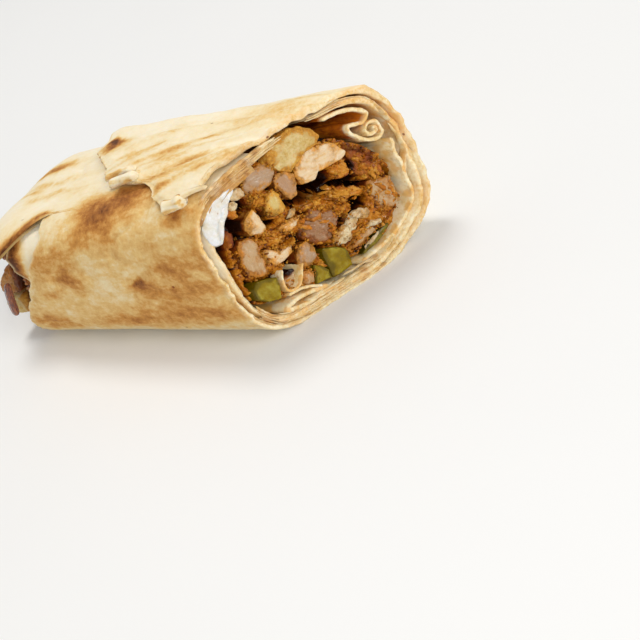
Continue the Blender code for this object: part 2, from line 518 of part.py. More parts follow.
def cut_pieces():
    """The pieces at the cut: each runs back from its outline, a little smaller behind."""
    rows = [(0.42, 0.0), (0.82, 0.0), (0.97, 0.45), (1.0, 1.5), (0.97, 5.5), (0.70, 0.0)]
    for i, (name, forward, fall, colour, corners) in enumerate(CUT_PIECES):
        middle = middle_of(corners)
        sides = 14 if name in ("potato_01", "chicken_01", "chicken_11") else 12
        angle = np.linspace(0.0, 2 * np.pi, sides, endpoint=False)
        r = radius_of(corners, middle, angle) - 0.22
        if name != "potato_01":
            for normal, offset in room_planes():
                facing = np.cos(angle) * normal[1] + np.sin(angle) * normal[2]
                far = offset - GAP - middle @ normal[1:]
                r = np.minimum(r, np.where(facing > 1e-3, far / np.maximum(facing, 1e-3), 1e9))
        lean = np.random.default_rng(300 + i).uniform(-0.07, 0.07, 2)
        rings = []
        for k, (share, back) in enumerate(rows):
            flat = middle + (r * share)[:, None] * np.stack([np.cos(angle), np.sin(angle)], axis=1)
            front = forward + (flat - middle) @ lean - fall * share ** 2
            height = -BACK_OF_PIECES if k == len(rows) - 1 else front - back
            surface = np.stack([cut_x(flat[:, 0], flat[:, 1]), *flat.T], axis=1)
            rings.append(surface + np.stack([height / CUT_N[0] + 0 * angle, 0 * angle, 0 * angle],
                                            axis=1))
        centre = np.array([cut_x(*middle), *middle])
        ends = [centre + (h / CUT_N[0], 0.0, 0.0) for h in (forward, -BACK_OF_PIECES)]
        make(name, *closed_rings(np.array(rings), *ends), colour)


def end_pieces():
    """The pieces in the open left end, each trimmed by its neighbours and the walls."""
    shapes = []
    axes_there = np.array([[0.0, -1.0, 0.0], [0.0, 0.0, 1.0], [-1.0, 0.0, 0.0]])
    for row in END_PIECES:
        half = np.array([row[3], row[4], row[7]]) * (1.14, 1.14, 1.0)
        centre = np.array([row[6], row[1], row[2]])
        shapes.append((centre, frame_of(row[5], *axes_there), half))
    for i, row in enumerate(END_PIECES):
        centre, axes, half = shapes[i]
        planes = [(n, o - GAP) for n, o in room_planes()]
        for j, other in enumerate(shapes):
            if j != i and np.linalg.norm(other[0] - centre) < other[2].max() + half.max() + 2:
                normal, offset = divider(shapes[i], other)
                planes.append((normal, offset - GAP / 2))
        planes.append((np.array([1.0, 0.0, 0.0]), END_OF_PIECES))
        blunt, rough, colour = row[8:11]
        body = trimmed_piece(centre, axes, half, blunt, rough, planes, 100 + i,
                             5 if rough > 0.08 else 0)
        make(row[0], *body, colour)


def strip():
    """Curved strip of red onion hanging at the open end, a flat band along a path."""
    path = smooth_path([(1.0, -27.6, 7.0), (-0.8, -28.0, 2.4), (-2.6, -28.3, -3.4),
                        (-4.6, -28.4, -10.2)], 12)
    width = np.array([[1.5, 0.0, 0.0]])
    taper = np.sqrt(np.clip(1.0 - np.linspace(-0.97, 0.97, 12) ** 6, 0.2, 1.0))[:, None]
    away = np.array([[0.0, 0.55, 0.0]])
    outer = np.stack([path - width * taper - 0.4 * away, path - 1.4 * away,
                      path + width * taper - 0.4 * away], axis=1)
    inner = np.stack([path - width * taper + 0.4 * away, path + 0.6 * away,
                      path + width * taper + 0.4 * away], axis=1)
    return make("onion_strip", *shell(outer, inner), "onion")


def build():
    for old in list(bpy.data.objects):
        bpy.data.objects.remove(old, do_unlink=True)
    flatbread()
    fold("inner_fold", [(14.6, 24.4), (19.0, 23.0), (22.2, 20.7), (24.2, 17.8), (24.2, 15.2),
                        (22.2, 13.9), (20.0, 14.8), (18.2, 15.4), (18.0, 13.2), (20.0, 9.9),
                        (22.4, 7.4), (24.9, 6.9), (26.3, 8.9), (25.6, 11.6), (23.7, 12.6),
                        (21.9, 11.3), (22.5, 9.4), (24.2, 9.1), (24.7, 10.3), (23.8, 11.0)],
         39, 14.0, 1.0, -0.3)
    fold("side_fold", [(27.4, 5.4), (25.8, 3.0), (25.2, 0.0), (25.4, -3.0), (24.9, -7.0),
                       (24.3, -11.0), (23.7, -15.0), (20.5, -19.2), (14.0, -21.9), (8.0, -22.6),
                       (2.0, -22.5)], 18, 14.0, 1.35, 0.5)
    fold("bottom_fold", [(-5.2, -22.7), (-12.0, -22.6), (-18.0, -21.4), (-20.8, -19.6),
                         (-17.4, -18.6), (-12.6, -19.9), (-8.4, -21.3)], 20, 14.0, 1.1, 0.4)
    sauce()
    filling()
    cut_pieces()
    end_pieces()
    strip()


build()
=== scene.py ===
"""The looks of a cut chicken wrap: toasted bread, sauce, meat, potato and pickles.

Shapes are worked out in millimetres in an untapered section (x along the roll to the cut, p across,
q up from the middle) as whole numpy grids, and carried to the tapered roll in the frame's metres.
"""

import bpy
import numpy as np
from mathutils import Matrix


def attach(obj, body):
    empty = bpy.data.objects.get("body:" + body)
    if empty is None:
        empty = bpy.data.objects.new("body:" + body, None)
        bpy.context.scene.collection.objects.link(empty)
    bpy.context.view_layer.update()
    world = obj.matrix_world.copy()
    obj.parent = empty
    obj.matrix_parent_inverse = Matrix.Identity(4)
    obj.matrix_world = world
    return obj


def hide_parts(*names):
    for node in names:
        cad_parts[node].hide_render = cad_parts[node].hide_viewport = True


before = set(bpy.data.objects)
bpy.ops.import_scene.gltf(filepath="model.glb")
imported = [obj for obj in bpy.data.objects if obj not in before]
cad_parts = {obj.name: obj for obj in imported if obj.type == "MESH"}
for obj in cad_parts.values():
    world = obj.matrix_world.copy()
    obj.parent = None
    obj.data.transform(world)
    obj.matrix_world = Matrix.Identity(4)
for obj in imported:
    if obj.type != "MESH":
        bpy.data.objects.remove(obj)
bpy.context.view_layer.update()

MM = 0.001

# the roll, as the solids have it
WIDTH = 62.0
HEIGHT = 55.0
LENGTH = 111.0
SQUARENESS = 3.8
END_WIDE = 1.02
END_HIGH = 0.74
TAPER_START = 10.0
TAPER_POWER = 0.6
DROOP = 0.04
MIDDLE = 61.0
REST = 0.9
CUT_TURN = np.radians(31.0)
CUT_LEAN = np.radians(6.0)

# the bread: its thickness, how far in each turn lies, the angle where it starts, degrees rolled in
# all, how it stands proud over its own start, the gap inside it, the radius that turns degrees to mm
SHEET = 1.75
PITCH = 2.0
FLAP_ANGLE = 138.0
ROLLED = 740.0
LAP = 0.9
LAP_SPAN = 110.0
LAP_START = 305.0
GAP = 0.35
MEAN_RADIUS = 29.0
# degrees rolled from the flap's edge: where the flap runs out, where the hood starts, where the
# last turn is tucked in at the left end
FLAP_FADE = (95.0, 125.0)
HOOD_START = 375.0
TUCKED_IN = 680.0
# x of the cut as first guessed, before each point's own angle gives it
CUT_GUESS = 95.0
# points over the rounded edge of a thin sheet
EDGE_POINTS = 3

# where each turn of the bread ends at the left: degrees rolled from the flap, mm along
LEFT_TURN = [0, 4, 14, 22, 26, 38, 50, 68, 82, 94, 138, 178, 228, 294, 304, 314, 326, 333, 344,
             355, 361, 374, 376, 382, 400, 430, 470, 520, 590, 640, 660, 680, 692, 700, 708, 740]
LEFT_EDGE = [80, 78, 75, 69, 56, 46, 41, 31, 32, 27, 14, 5, 0, 3, 6, 10, 13.6, 17, 20,
             24.5, 25.5, 24, -6, -9, -9, -7, -5, -2, 1, 5, 11, 16, 14, 9, 7, 7.5]

# toasted patches, and at (84, 136.5) a painted shadow under the right rolled lip: x, degrees round, half
# length, half width in degrees, lean, strength
TOASTED = [
    (56, 121, 12, 9, 0.25, 0.46), (53, 131, 9, 9, 0.3, 0.36), (55, 145, 8, 9, 0.3, 0.14),
    (50, 138, 9, 8, 0.3, 0.16), (30, 150, 10, 8, 0.2, 0.20), (78, 168, 6, 8, 0.3, 0.20),
    (66, 118, 8, 6, 0.1, 0.36), (43, 124, 5, 7, 0.2, 0.20), (75, 122, 6, 7, 0.2, 0.22),
    (35, 168, 5.5, 8, 0.2, 0.34), (42, 143, 5, 7, 0.2, 0.14), (63, 178, 6, 5, 0.2, 0.34),
    (61.2, 175.5, 2.8, 3.2, 0.2, 0.36), (84, 180, 8, 6, -0.2, 0.26), (95, 164, 8, 8, -0.2, 0.10),
    (72, 186, 6, 5, 0.0, 0.20), (84, -160, 13, 9, 0.0, 0.26), (50, -158, 14, 8, 0.0, 0.24),
    (18, -156, 12, 8, 0.3, 0.24), (24, 176, 5, 6, 0.2, 0.16), (100, -168, 6, 7, 0.0, 0.20),
    # (84, 136.5) is painted shadow cast by the right rolled lip, not toasting
    (88, 128, 6, 6, 0.2, 0.22), (98, 140, 8, 8, 0.2, 0.20), (84, 136.5, 5.0, 4.4, 0.1, 0.44),
    (61, 128, 10, 10, 0.3, 0.20), (44, 132, 9, 9, 0.3, 0.20),
    (6, 66, 13, 5, 0.0, 0.62), (4, 94, 9, 4, 0.2, 0.34), (12, 86, 18, 4, 0.3, 0.22),
    (20, 104, 14, 4, 0.3, 0.26), (70, 30, 24, 14, 0.2, 0.30), (34, 8, 18, 16, 0.2, 0.40),
    (88, -6, 14, 14, 0.0, 0.34), (60, -30, 22, 12, 0.2, 0.36), (20, -40, 12, 10, 0.0, 0.30),
    (96, 40, 9, 10, 0.0, 0.22),
]
# charred spots, and browning on the flap alone, in the same columns; its patch by the cut at (102, 111) is
# partly browning, partly painted shade where the layers crease
CHARRED = [
    (36.4, 69.6, 2.0, 3.4, 0.1, 0.50), (52, 128, 3.0, 4, 0.3, 0.12),
    (57, 121, 3.0, 3, 0.3, 0.14), (61, 175, 1.6, 1.8, 0.2, 0.16), (36, 12, 4, 5, 0.2, 0.5),
    (92, -8, 4, 5, 0.1, 0.4), (57, -32, 4, 4, 0.1, 0.4),
]
BROWNED_FLAP = [
    (37.0, 69.6, 3.4, 6.0, 0.1, 0.98), (41.6, 68.8, 4.6, 3.8, 0.1, 0.42), (98, 70, 16, 16, 0.0, 0.18),
    # (102, 111): partly painted shade of the creases between the layers at the cut
    (76, 104, 14, 16, 0.2, 0.16), (102, 111, 8, 9, 0.2, 0.24), (110, 62, 9, 14, 0.0, 0.14),
]
# golden stripes along the flap's ridges: x, degrees round, half length, half width, strength
STRIPES = [
    (85.5, 83, 11, 2.4, 0.30), (79.5, 106, 9, 2.6, 0.34), (59, 82, 13, 2.4, 0.30),
    (92, 79, 8, 2.2, 0.28), (78, 122, 7, 3.0, 0.36), (86, 113, 9, 2.2, 0.34), (66, 98, 10, 2.6, 0.34),
    (70, 90, 12, 1.8, 0.26), (96, 92, 7, 2.0, 0.26), (52, 95, 8, 2.6, 0.30), (46, 76, 7, 2.4, 0.26),
    (72, 114, 6, 2.4, 0.34), (100, 104, 6, 2.2, 0.24), (64, 70, 14, 2.0, 0.20), (88, 66, 14, 2.2, 0.20),
]

# corners of the room left for the filling, in the section
ROOM = np.array([
    (-8.5, 23.6), (7.5, 24.0), (22.6, 5.0), (23.8, 0.0), (23.3, -8.0), (21.5, -14.0),
    (17.5, -18.8), (9.0, -21.2), (-4.5, -21.4), (-19.0, -17.2), (-26.0, -13.0), (-26.0, -5.0),
    (-24.6, 2.0), (-22.6, 8.5), (-20.6, 13.5), (-17.4, 18.6), (-12.4, 21.9)])

# how deep the pieces go: behind the cut, and x where the open end's pieces stop and the packing starts
PIECE_DEPTH = 8.6
END_OF_PIECES = 3.0
START_OF_FILLING = 3.6

# pieces at the cut: name, how far its middle stands forward of the cut, how far it falls off
# to its rim, finish, and the corners of its outline in the cut as (p, q)
CUT_PIECES = [
    ("potato_01", 0.5, 0.3, "potato", [(-4.4, 21.4), (-1.0, 25.2), (3.0, 25.9), (7.0, 25.0),
        (9.2, 22.4), (10.2, 19.2), (8.6, 17.3), (4.4, 16.9), (1.9, 15.8), (-0.6, 14.9),
        (-3.2, 17.6)]),
    ("chicken_01", 0.6, 0.4, "pale_meat", [(-0.1, 13.3), (2.2, 16.6), (5.8, 17.6), (9.4, 16.4),
        (12.3, 14.8), (14.4, 9.7), (12.4, 8.6), (8.7, 9.3), (4.8, 10.0), (3.6, 8.3), (-0.0, 9.7)]),
    ("chicken_02", 0.0, 0.6, "pink_meat", [(-11.2, 22.2), (-8.2, 22.7), (-4.7, 22.3), (-3.2, 20.1),
        (-3.5, 17.3), (-5.9, 15.4), (-8.8, 15.1), (-11.8, 16.9), (-12.4, 19.6)]),
    ("chicken_03", 0.3, 0.3, "ribbed_meat", [(-5.0, 16.5), (-3.4, 17.0), (-1.5, 15.9), (-0.0, 13.8),
        (-0.8, 10.9), (-2.2, 8.1), (-4.0, 7.8), (-4.9, 10.6), (-5.4, 14.3)]),
    ("chicken_04", 0.6, 0.9, "pale_meat", [(-16.8, 11.2), (-14.9, 12.4), (-13.4, 13.2),
        (-13.0, 10.3), (-13.0, 7.2), (-13.2, 5.1), (-14.9, 4.8), (-17.0, 6.3), (-17.6, 9.1)]),
    ("chicken_05", 0.0, 0.8, "pale_meat", [(-9.9, 2.4), (-8.0, 3.4), (-5.5, 2.7), (-3.5, 1.9),
        (-4.9, 0.3), (-7.2, -0.0), (-8.8, -0.2), (-10.0, 0.9)]),
    ("chicken_06", 0.5, 0.7, "grey_meat", [(-21.8, 6.0), (-20.2, 7.4), (-18.0, 6.5), (-16.7, 4.5),
        (-17.5, 1.1), (-18.3, -2.5), (-19.5, -6.5), (-21.7, -5.5), (-23.5, -2.9), (-23.4, 1.2)]),
    ("chicken_07", -0.3, 0.8, "pale_meat", [(-17.4, -0.8), (-15.7, -0.1), (-13.7, -2.4),
        (-11.5, -3.4), (-9.5, -3.5), (-10.8, -6.1), (-13.3, -7.1), (-15.7, -6.8), (-17.5, -4.1)]),
    ("chicken_08", 0.3, 0.6, "pink_meat", [(-10.6, -8.1), (-8.6, -5.3), (-6.5, -5.5), (-5.8, -8.8),
        (-6.3, -11.6), (-8.6, -13.0), (-10.5, -12.5), (-11.6, -10.7)]),
    ("chicken_09", -1.2, 0.6, "grey_meat", [(-17.6, -12.8), (-15.3, -11.2), (-12.7, -10.6),
        (-11.6, -11.8), (-12.4, -14.0), (-14.6, -15.3), (-16.6, -15.1)]),
    ("chicken_10", -0.2, 0.6, "grey_meat", [(-13.9, -15.5), (-11.7, -13.3), (-9.6, -13.6),
        (-9.0, -15.9), (-10.1, -19.0), (-12.2, -18.3)]),
    ("chicken_11", -0.3, 1.2, "brown_meat", [(-5.3, -1.5), (-3.3, 1.0), (-0.4, 1.2), (2.3, -0.7),
        (4.9, -3.5), (5.0, -6.8), (3.3, -9.1), (0.3, -10.5), (-3.0, -10.5), (-5.5, -8.3),
        (-6.0, -4.5)]),
    ("chicken_12", -1.0, 0.8, "tan_meat", [(9.1, 6.8), (10.9, 8.6), (13.3, 8.1), (14.4, 5.7),
        (14.2, 3.2), (12.3, 2.1), (9.9, 3.3)]),
    ("chicken_13", -1.1, 1.0, "roast_meat", [(16.2, 10.3), (18.2, 7.7), (20.7, 4.2), (21.9, -0.1),
        (21.9, -4.5), (19.3, -3.5), (16.1, -2.0), (15.6, 0.8), (15.4, 4.3)]),
    ("chicken_14", -0.4, 0.7, "grey_meat", [(16.0, -2.5), (19.0, -3.9), (21.9, -5.2),
        (21.7, -10.1), (20.6, -14.4), (18.3, -15.4), (16.2, -13.1), (15.0, -9.2), (15.1, -5.6)]),
    ("chicken_15", -1.1, 0.9, "tan_meat", [(8.7, -10.4), (11.9, -9.5), (14.0, -10.5),
        (15.4, -14.0), (14.8, -17.2), (11.6, -16.1), (8.8, -14.4)]),
    ("chicken_16", -0.6, 0.6, "grey_meat", [(2.6, -17.1), (4.8, -15.7), (7.9, -14.7),
        (10.9, -15.6), (12.2, -16.6), (9.6, -17.8), (6.2, -18.3), (3.6, -18.2)]),
    ("roast_bit_01", -1.1, 1.2, "gold_meat", [(-3.4, 4.3), (-0.6, 4.2), (2.5, 2.8), (4.5, 1.2),
        (4.3, -0.6), (1.6, -0.2), (-0.9, 1.3), (-3.4, 2.0)]),
    ("roast_bit_02", -0.6, 1.2, "gold_meat", [(5.1, 0.8), (6.8, 2.3), (9.9, 1.1), (12.8, -1.2),
        (14.4, -4.2), (13.2, -5.6), (10.3, -3.8), (6.4, -2.0)]),
    ("roast_bit_03", -1.4, 1.2, "gold_meat", [(4.1, -1.9), (6.8, -3.0), (9.1, -5.1), (9.8, -7.1),
        (8.5, -9.6), (6.1, -7.1), (4.3, -4.2)]),
    ("roast_bit_04", -1.3, 1.0, "gold_meat", [(-12.2, 15.9), (-9.4, 14.8), (-8.3, 13.5),
        (-9.7, 11.5), (-10.6, 9.5), (-11.4, 11.2), (-12.2, 13.6)]),
    ("roast_bit_05", -1.5, 1.2, "gold_meat", [(-15.0, 3.6), (-12.5, 3.6), (-9.8, 1.7),
        (-8.3, -1.3), (-9.1, -3.3), (-11.7, -3.0), (-14.1, -0.9), (-15.7, 1.4)]),
    ("roast_bit_06", -0.3, 0.8, "tan_meat", [(-19.0, 15.4), (-17.9, 17.2), (-16.4, 17.2),
        (-15.9, 15.4), (-16.8, 13.4), (-18.2, 13.8)]),
    ("fat_01", 0.1, 0.6, "fat", [(-10.2, 11.2), (-8.4, 13.4), (-6.4, 14.2), (-5.4, 11.1),
        (-5.7, 7.8), (-7.1, 5.9), (-9.0, 6.3), (-10.5, 8.4)]),
    ("creamy_bit_01", -0.2, 1.0, "cream", [(-0.2, -11.9), (1.8, -9.9), (4.1, -9.4), (6.9, -10.2),
        (8.4, -12.5), (6.0, -14.3), (2.9, -15.0), (0.6, -14.2)]),
    ("meat_strip_01", -1.8, 1.0, "roast_meat", [(-22.4, 9.6), (-21.4, 11.8), (-20.2, 13.2),
        (-19.2, 13.0), (-19.4, 11.0), (-20.2, 8.0), (-21.4, 5.4), (-22.8, 5.8), (-23.2, 7.4)]),
    ("pickle_01", 0.6, 0.3, "pickle", [(-25.0, -7.4), (-23.2, -5.9), (-20.4, -7.3), (-18.2, -8.9),
        (-18.8, -11.8), (-20.4, -15.4), (-23.6, -13.6), (-25.5, -11.0)]),
    ("pickle_02", 0.6, 0.4, "pickle", [(-4.3, -10.8), (-1.3, -12.8), (0.8, -15.3), (0.6, -18.7),
        (-0.4, -21.8), (-3.3, -21.9), (-6.2, -21.3), (-5.4, -17.7), (-5.0, -13.7)]),
    ("pickle_03", 0.1, 0.4, "pickle", [(-8.3, -13.5), (-6.7, -15.3), (-5.7, -17.9), (-6.3, -21.1),
        (-8.3, -20.9), (-9.7, -21.6), (-10.6, -19.8), (-9.2, -16.7)]),
    ("pickle_04", -0.1, 0.5, "dark_pickle", [(3.6, -21.2), (6.6, -19.6), (10.6, -18.2),
        (14.2, -17.7), (15.6, -17.9), (12.5, -20.2), (9.2, -21.2), (6.3, -21.6), (4.2, -21.6)]),
]

# pieces in the open left end: name, p, q, half length, half height, turn, middle x,
# half depth, bluntness, roughness, finish
END_PIECES = [
    ("end_chicken_01", -19.0, 3.4, 8.6, 7.0, 14, -4.6, 7.6, 2.6, 0.10, "end_meat"),
    ("end_chicken_02", -14.6, 14.0, 7.0, 4.6, 30, -2.4, 6.2, 2.4, 0.14, "end_roast"),
    ("end_chicken_03", 2.0, 12.4, 8.8, 6.6, 15, 0.0, 5.0, 2.4, 0.12, "end_meat"),
    ("end_chicken_04", 14.2, 1.0, 8.8, 7.6, -60, 0.0, 5.0, 2.6, 0.12, "end_roast"),
    ("end_chicken_05", -3.0, -1.6, 8.2, 6.4, 10, -1.4, 5.6, 2.4, 0.12, "end_meat"),
    ("end_chicken_06", 6.0, -12.6, 9.6, 6.2, -8, 0.2, 4.8, 2.4, 0.10, "end_roast"),
    ("end_potato_01", -18.6, -9.6, 8.4, 6.4, 4, -5.4, 7.8, 3.2, 0.06, "potato"),
]

# hollows between the pieces at the cut: p, q, half width, half height, lean, depth
HOLLOWS = [
    (1.8, 6.4, 5.4, 2.7, -14, 11.0), (6.0, 6.4, 2.3, 3.0, 30, 11.0), (-18.3, 11.4, 4.8, 2.5, 72, 10.0),
    (-15.0, 16.4, 3.6, 1.9, -60, 6.5), (-12.3, 8.8, 2.6, 1.1, 78, 9.0), (-11.6, 5.6, 1.8, 1.0, -16, 8.0),
    (11.6, 1.6, 3.6, 1.4, -20, 9.0), (10.8, -7.8, 2.6, 1.8, 45, 9.0), (-13.3, -9.2, 3.4, 1.1, 36, 7.0),
    (-5.2, 8.0, 2.1, 0.9, -33, 8.0), (4.6, -8.1, 1.5, 1.0, 72, 8.0), (-4.7, -10.6, 1.8, 0.9, -25, 8.0),
    (-17.6, -12.3, 1.6, 1.0, 80, 8.0), (12.6, -0.8, 4.6, 0.8, -36, 7.0), (13.4, 19.4, 4.0, 2.0, -40, 7.0),
    (22.0, -8.0, 5.0, 0.8, -85, 7.0), (-8.2, -21.6, 1.9, 0.8, -17, 7.0), (8.6, 11.2, 2.4, 0.8, -24, 7.0),
    (14.9, 4.6, 0.9, 3.0, 10, 7.0), (-20.6, 8.8, 0.9, 3.0, -20, 7.0), (-12.6, -10.9, 3.0, 0.7, 20, 6.0),
]

CUT_N = np.array([np.cos(CUT_TURN) * np.cos(CUT_LEAN),
                  -np.sin(CUT_TURN) * np.cos(CUT_LEAN), np.sin(CUT_LEAN)])


# ---------------------------------------------------------------- fields and shapes in the section


def ease(value, low, high):
    """Smooth step from 0 at low to 1 at high."""
    t = np.clip((np.asarray(value, float) - low) / (high - low), 0.0, 1.0)
    return t * t * (3.0 - 2.0 * t)


def bell(value, width):
    """Bell curve: e to the minus square of value over width."""
    return np.exp(-(value / width) ** 2)


def bulge(value, least):
    """Square-root rise to 1, as a rounded end has, never under the root of least."""
    return np.sqrt(np.clip(value, least, 1.0))


def circle(count):
    """Angles evenly round one turn."""
    return np.linspace(0.0, 2 * np.pi, count, endpoint=False)


def turned_by(lean, u, v):
    """The lengths u and v turned by an angle in degrees."""
    c, s = np.cos(np.radians(lean)), np.sin(np.radians(lean))
    return c * u - s * v, s * u + c * v


def unit(vectors):
    """Vectors made one long."""
    return vectors / np.maximum(np.linalg.norm(vectors, axis=-1, keepdims=True), 1e-9)


def reach_to(distance, facing):
    """Way along a direction to a plane so far off; very long where it does not face the plane."""
    return np.where(facing > 1e-3, distance / np.maximum(facing, 1e-3), 1e9)


def random_field(points, size, seed):
    """Smooth random field from 0 to 1.

    Each corner of a lattice of the given cell size has a hashed number, and a point takes the
    corners of its cell, each weighted by a fifth-degree step of its nearness.
    """
    at = np.asarray(points, float) / size + seed * 7.31
    cell = np.floor(at).astype(np.int64)
    t = at - cell
    t = t ** 3 * (t * (6.0 * t - 15.0) + 10.0)
    total = np.zeros(at.shape[:-1])
    for corner in range(8):
        step = np.array([corner & 1, corner >> 1 & 1, corner >> 2 & 1])
        c = cell + step
        mixed = c[..., 0] * 374761393 + c[..., 1] * 668265263 + c[..., 2] * 1442695041 + seed * 97
        mixed = (mixed ^ (mixed >> 13)) * 1274126177
        mixed = (mixed ^ (mixed >> 16)) & 0xFFFFFF
        total += np.prod(np.where(step, t, 1.0 - t), axis=-1) * mixed / 0xFFFFFF
    return total


def cloudy(points, size, seed, octaves=4, fade=0.5):
    """Sum of random fields, each half the size and fade times the height of the last: -1 to 1."""
    total, reach = 0.0, 0.0
    for i in range(octaves):
        total = total + fade ** i * (2.0 * random_field(points, size / 2 ** i, seed + i) - 1.0)
        reach += fade ** i
    return total / reach


def jostled(points, amount, size, seeds, octaves):
    """Points pushed about by three random fields, each along one axis."""
    push = np.stack([cloudy(points, size, seed, octaves) for seed in seeds], axis=-1)
    return points + amount * push


def place(points):
    """Section points (x, p, q) carried to the tapered roll lying on the floor, in metres.

    The share of full size grows as a power of the distance from the left; p and q scale with
    it, the underside stays on the floor and its lowest skin is pressed flat.
    """
    x, p, q = points[..., 0], points[..., 1], points[..., 2]
    grown = np.clip((x + TAPER_START) / (LENGTH + TAPER_START), 0.0, 1.0) ** TAPER_POWER
    y = p * (END_WIDE + (1.0 - END_WIDE) * grown)
    high = END_HIGH + (1.0 - END_HIGH) * grown - DROOP * (1.0 - ease(x, -10.0, 8.0))
    z = (q + HEIGHT / 2) * high
    z = np.maximum(z, REST) - REST
    return np.stack([x - MIDDLE, y, z], axis=-1) * MM


def outline(angle, inset):
    """Radius of the rounded-square section at an angle, with its sides moved in by inset."""
    wide, high = WIDTH / 2 - inset, HEIGHT / 2 - inset
    across = np.abs(np.cos(angle) / wide) ** SQUARENESS
    return (across + np.abs(np.sin(angle) / high) ** SQUARENESS) ** (-1.0 / SQUARENESS)


def cut_x(p, q):
    """x of the slanting cut at (p, q)."""
    return LENGTH - (CUT_N[1] * p + CUT_N[2] * q) / CUT_N[0]


def at_cut(p, q, forward):
    """Points at (p, q) that stand so far forward of the cut, measured square to it."""
    return np.stack([cut_x(p, q) + forward / CUT_N[0], p, q], axis=-1)


def behind_cut(points):
    """How far behind the cut each point lies."""
    return (np.array([LENGTH, 0.0, 0.0]) - points) @ CUT_N


def wrapped(degrees):
    """Angle brought between -180 and 180."""
    return (degrees + 180.0) % 360.0 - 180.0


def sway(degrees, x):
    """Gentle unevenness shared by all turns, fading out on the underside."""
    a = np.radians(degrees)
    wave = 0.35 * np.sin(2 * a + 0.035 * x + 1.0) + 0.25 * np.sin(3 * a - 0.05 * x)
    d = wrapped(degrees)
    swell = 1.7 * bell(d - 10.0, 17.0) - 1.7 * bell(d + 47.0, 15.0) - 1.0 * bell(d - 58.0, 13.0)
    return wave * ease(np.sin(a), -0.95, -0.4) + swell * ease(x, 60.0, 100.0)


def ruffle(degrees):
    """How far the bread stands out past the cut at the bottom, where it is ruffled."""
    return 3.4 * bell(wrapped(degrees) + 82.0, 23.0)


def torn_back(turned):
    """How far behind the cut the bread ends: the flap's start, and the turn over the potato."""
    over_potato = ease(turned, 396.0, 401.0) * (1.0 - ease(turned, 432.0, 437.0))
    return 4.2 * bell(turned - 22.0, 14.0) + 12.0 * over_potato


def slack(degrees, x):
    """How far the inner turns sag from the flap where it starts, near the cut."""
    return 0.5 * bell(wrapped(degrees) - 112.0, 14.0) * ease(x, 78.0, 92.0)


def turn_inset(turned):
    """How far in the bread's outer face lies after so many degrees of rolling."""
    turn = np.floor(turned / 360.0)
    within = turned - 360.0 * turn
    proud = -LAP * (1.0 - ease(within, 0.0, LAP_SPAN))
    return PITCH * turn + proud + (PITCH - LAP) * ease(within, LAP_START, 360.0)


def wall(degrees, x):
    """Radius of the innermost bread's inner face, less a gap."""
    turned = FLAP_ANGLE - wrapped(degrees)
    turned = turned + np.where(turned < 0, 720.0, 360.0)
    turned = turned + np.where(turned <= ROLLED - 352.0, 360.0, 0.0)
    inset = turn_inset(turned) + SHEET + GAP
    return outline(np.radians(degrees), inset) + sway(degrees, x) - slack(degrees, x)


def on_section(x, radius, degrees):
    """Points (x, p, q) at polar places in the section."""
    a = np.radians(degrees)
    return np.stack([x, radius * np.cos(a), radius * np.sin(a)], axis=-1)


# ---------------------------------------------------------------- meshes from grids


def ring_faces(rows, cols):
    """Quads of a grid of rows and columns, its last column joined to its first."""
    index = np.arange(rows * cols).reshape(rows, cols)
    index = np.concatenate([index, index[:, :1]], axis=1)
    return np.stack([index[:-1, :-1], index[1:, :-1], index[1:, 1:], index[:-1, 1:]],
                    axis=-1).reshape(-1, 4)


def capped_rings(rings, first=None, last=None):
    """Points and faces of a body made of rings, closed at either end by a point.

    The point is the middle of the end ring unless it is given.
    """
    count, sides = rings.shape[:2]
    first = rings[0].mean(axis=0) if first is None else first
    last = rings[-1].mean(axis=0) if last is None else last
    points = np.concatenate([rings.reshape(-1, 3), [first, last]])
    a, b = count * sides, count * sides + 1
    start = np.arange(sides)
    end = start + (count - 1) * sides
    caps = [np.stack([np.full(sides, a), start, np.roll(start, -1)], axis=-1),
            np.stack([np.full(sides, b), np.roll(end, -1), end], axis=-1)]
    return points, [ring_faces(count, sides), *caps]


def loop_faces(rows, cols, rim, way):
    """Faces of a sheet made of loops: its skin, and quads and fans that close both end loops.

    A loop has cols points over one face, rim points over an edge, cols back over the other face
    and rim over the other edge; way is 1 or -1, after the side that the loops turn.
    """
    count = 2 * (cols + rim)
    j = np.arange(cols - 1)
    mate = count - rim - 1 - j
    quads = np.stack([j, mate, mate - 1, j + 1], axis=-1)
    rims = [np.arange(cols - 1, cols + rim + 1), np.append(np.arange(count - rim - 1, count), 0)]
    fans = [np.stack([np.full(len(r) - 2, r[0]), r[1:-1], r[2:]], axis=-1) for r in rims]
    faces = [ring_faces(rows, count)]
    for base, turn in ((0, way), ((rows - 1) * count, -way)):
        faces += [(quads + base)[:, ::turn], *((fan + base)[:, ::-turn] for fan in fans)]
    return faces


def capped_field(field, rings=slice(None)):
    """A field on rings as one list, with the first and the last ring's own value at its end."""
    return np.concatenate([field[rings].reshape(-1, *field.shape[2:]), field[:1, 0], field[-1:, 0]])


def slab(outer, inner):
    """Points and faces of a sheet between two grids of points, its long sides rounded.

    Each row of the two grids becomes a loop: along the outer face, over a rim of points that
    swell out by half the thickness, back along the inner face and over the other rim.
    """
    rows, cols = outer.shape[:2]
    share = ((np.arange(EDGE_POINTS) + 1.0) / (EDGE_POINTS + 1.0))[None, :, None]
    swell = np.sin(np.pi * share)

    def over(one, two, before):
        """Points over one rim, from one face to the other, swelling away from the points before it."""
        across = one + (two - one) * share
        thick = np.linalg.norm(two - one, axis=-1, keepdims=True)
        return across + unit(one - before) * swell * thick * 0.32

    right = over(outer[:, -1:], inner[:, -1:], outer[:, -3:-2])
    left = over(inner[:, :1], outer[:, :1], inner[:, 2:3])
    loops = np.concatenate([outer, right, inner[:, ::-1], left], axis=1)
    return loops.reshape(-1, 3), loop_faces(rows, cols, EDGE_POINTS, 1)


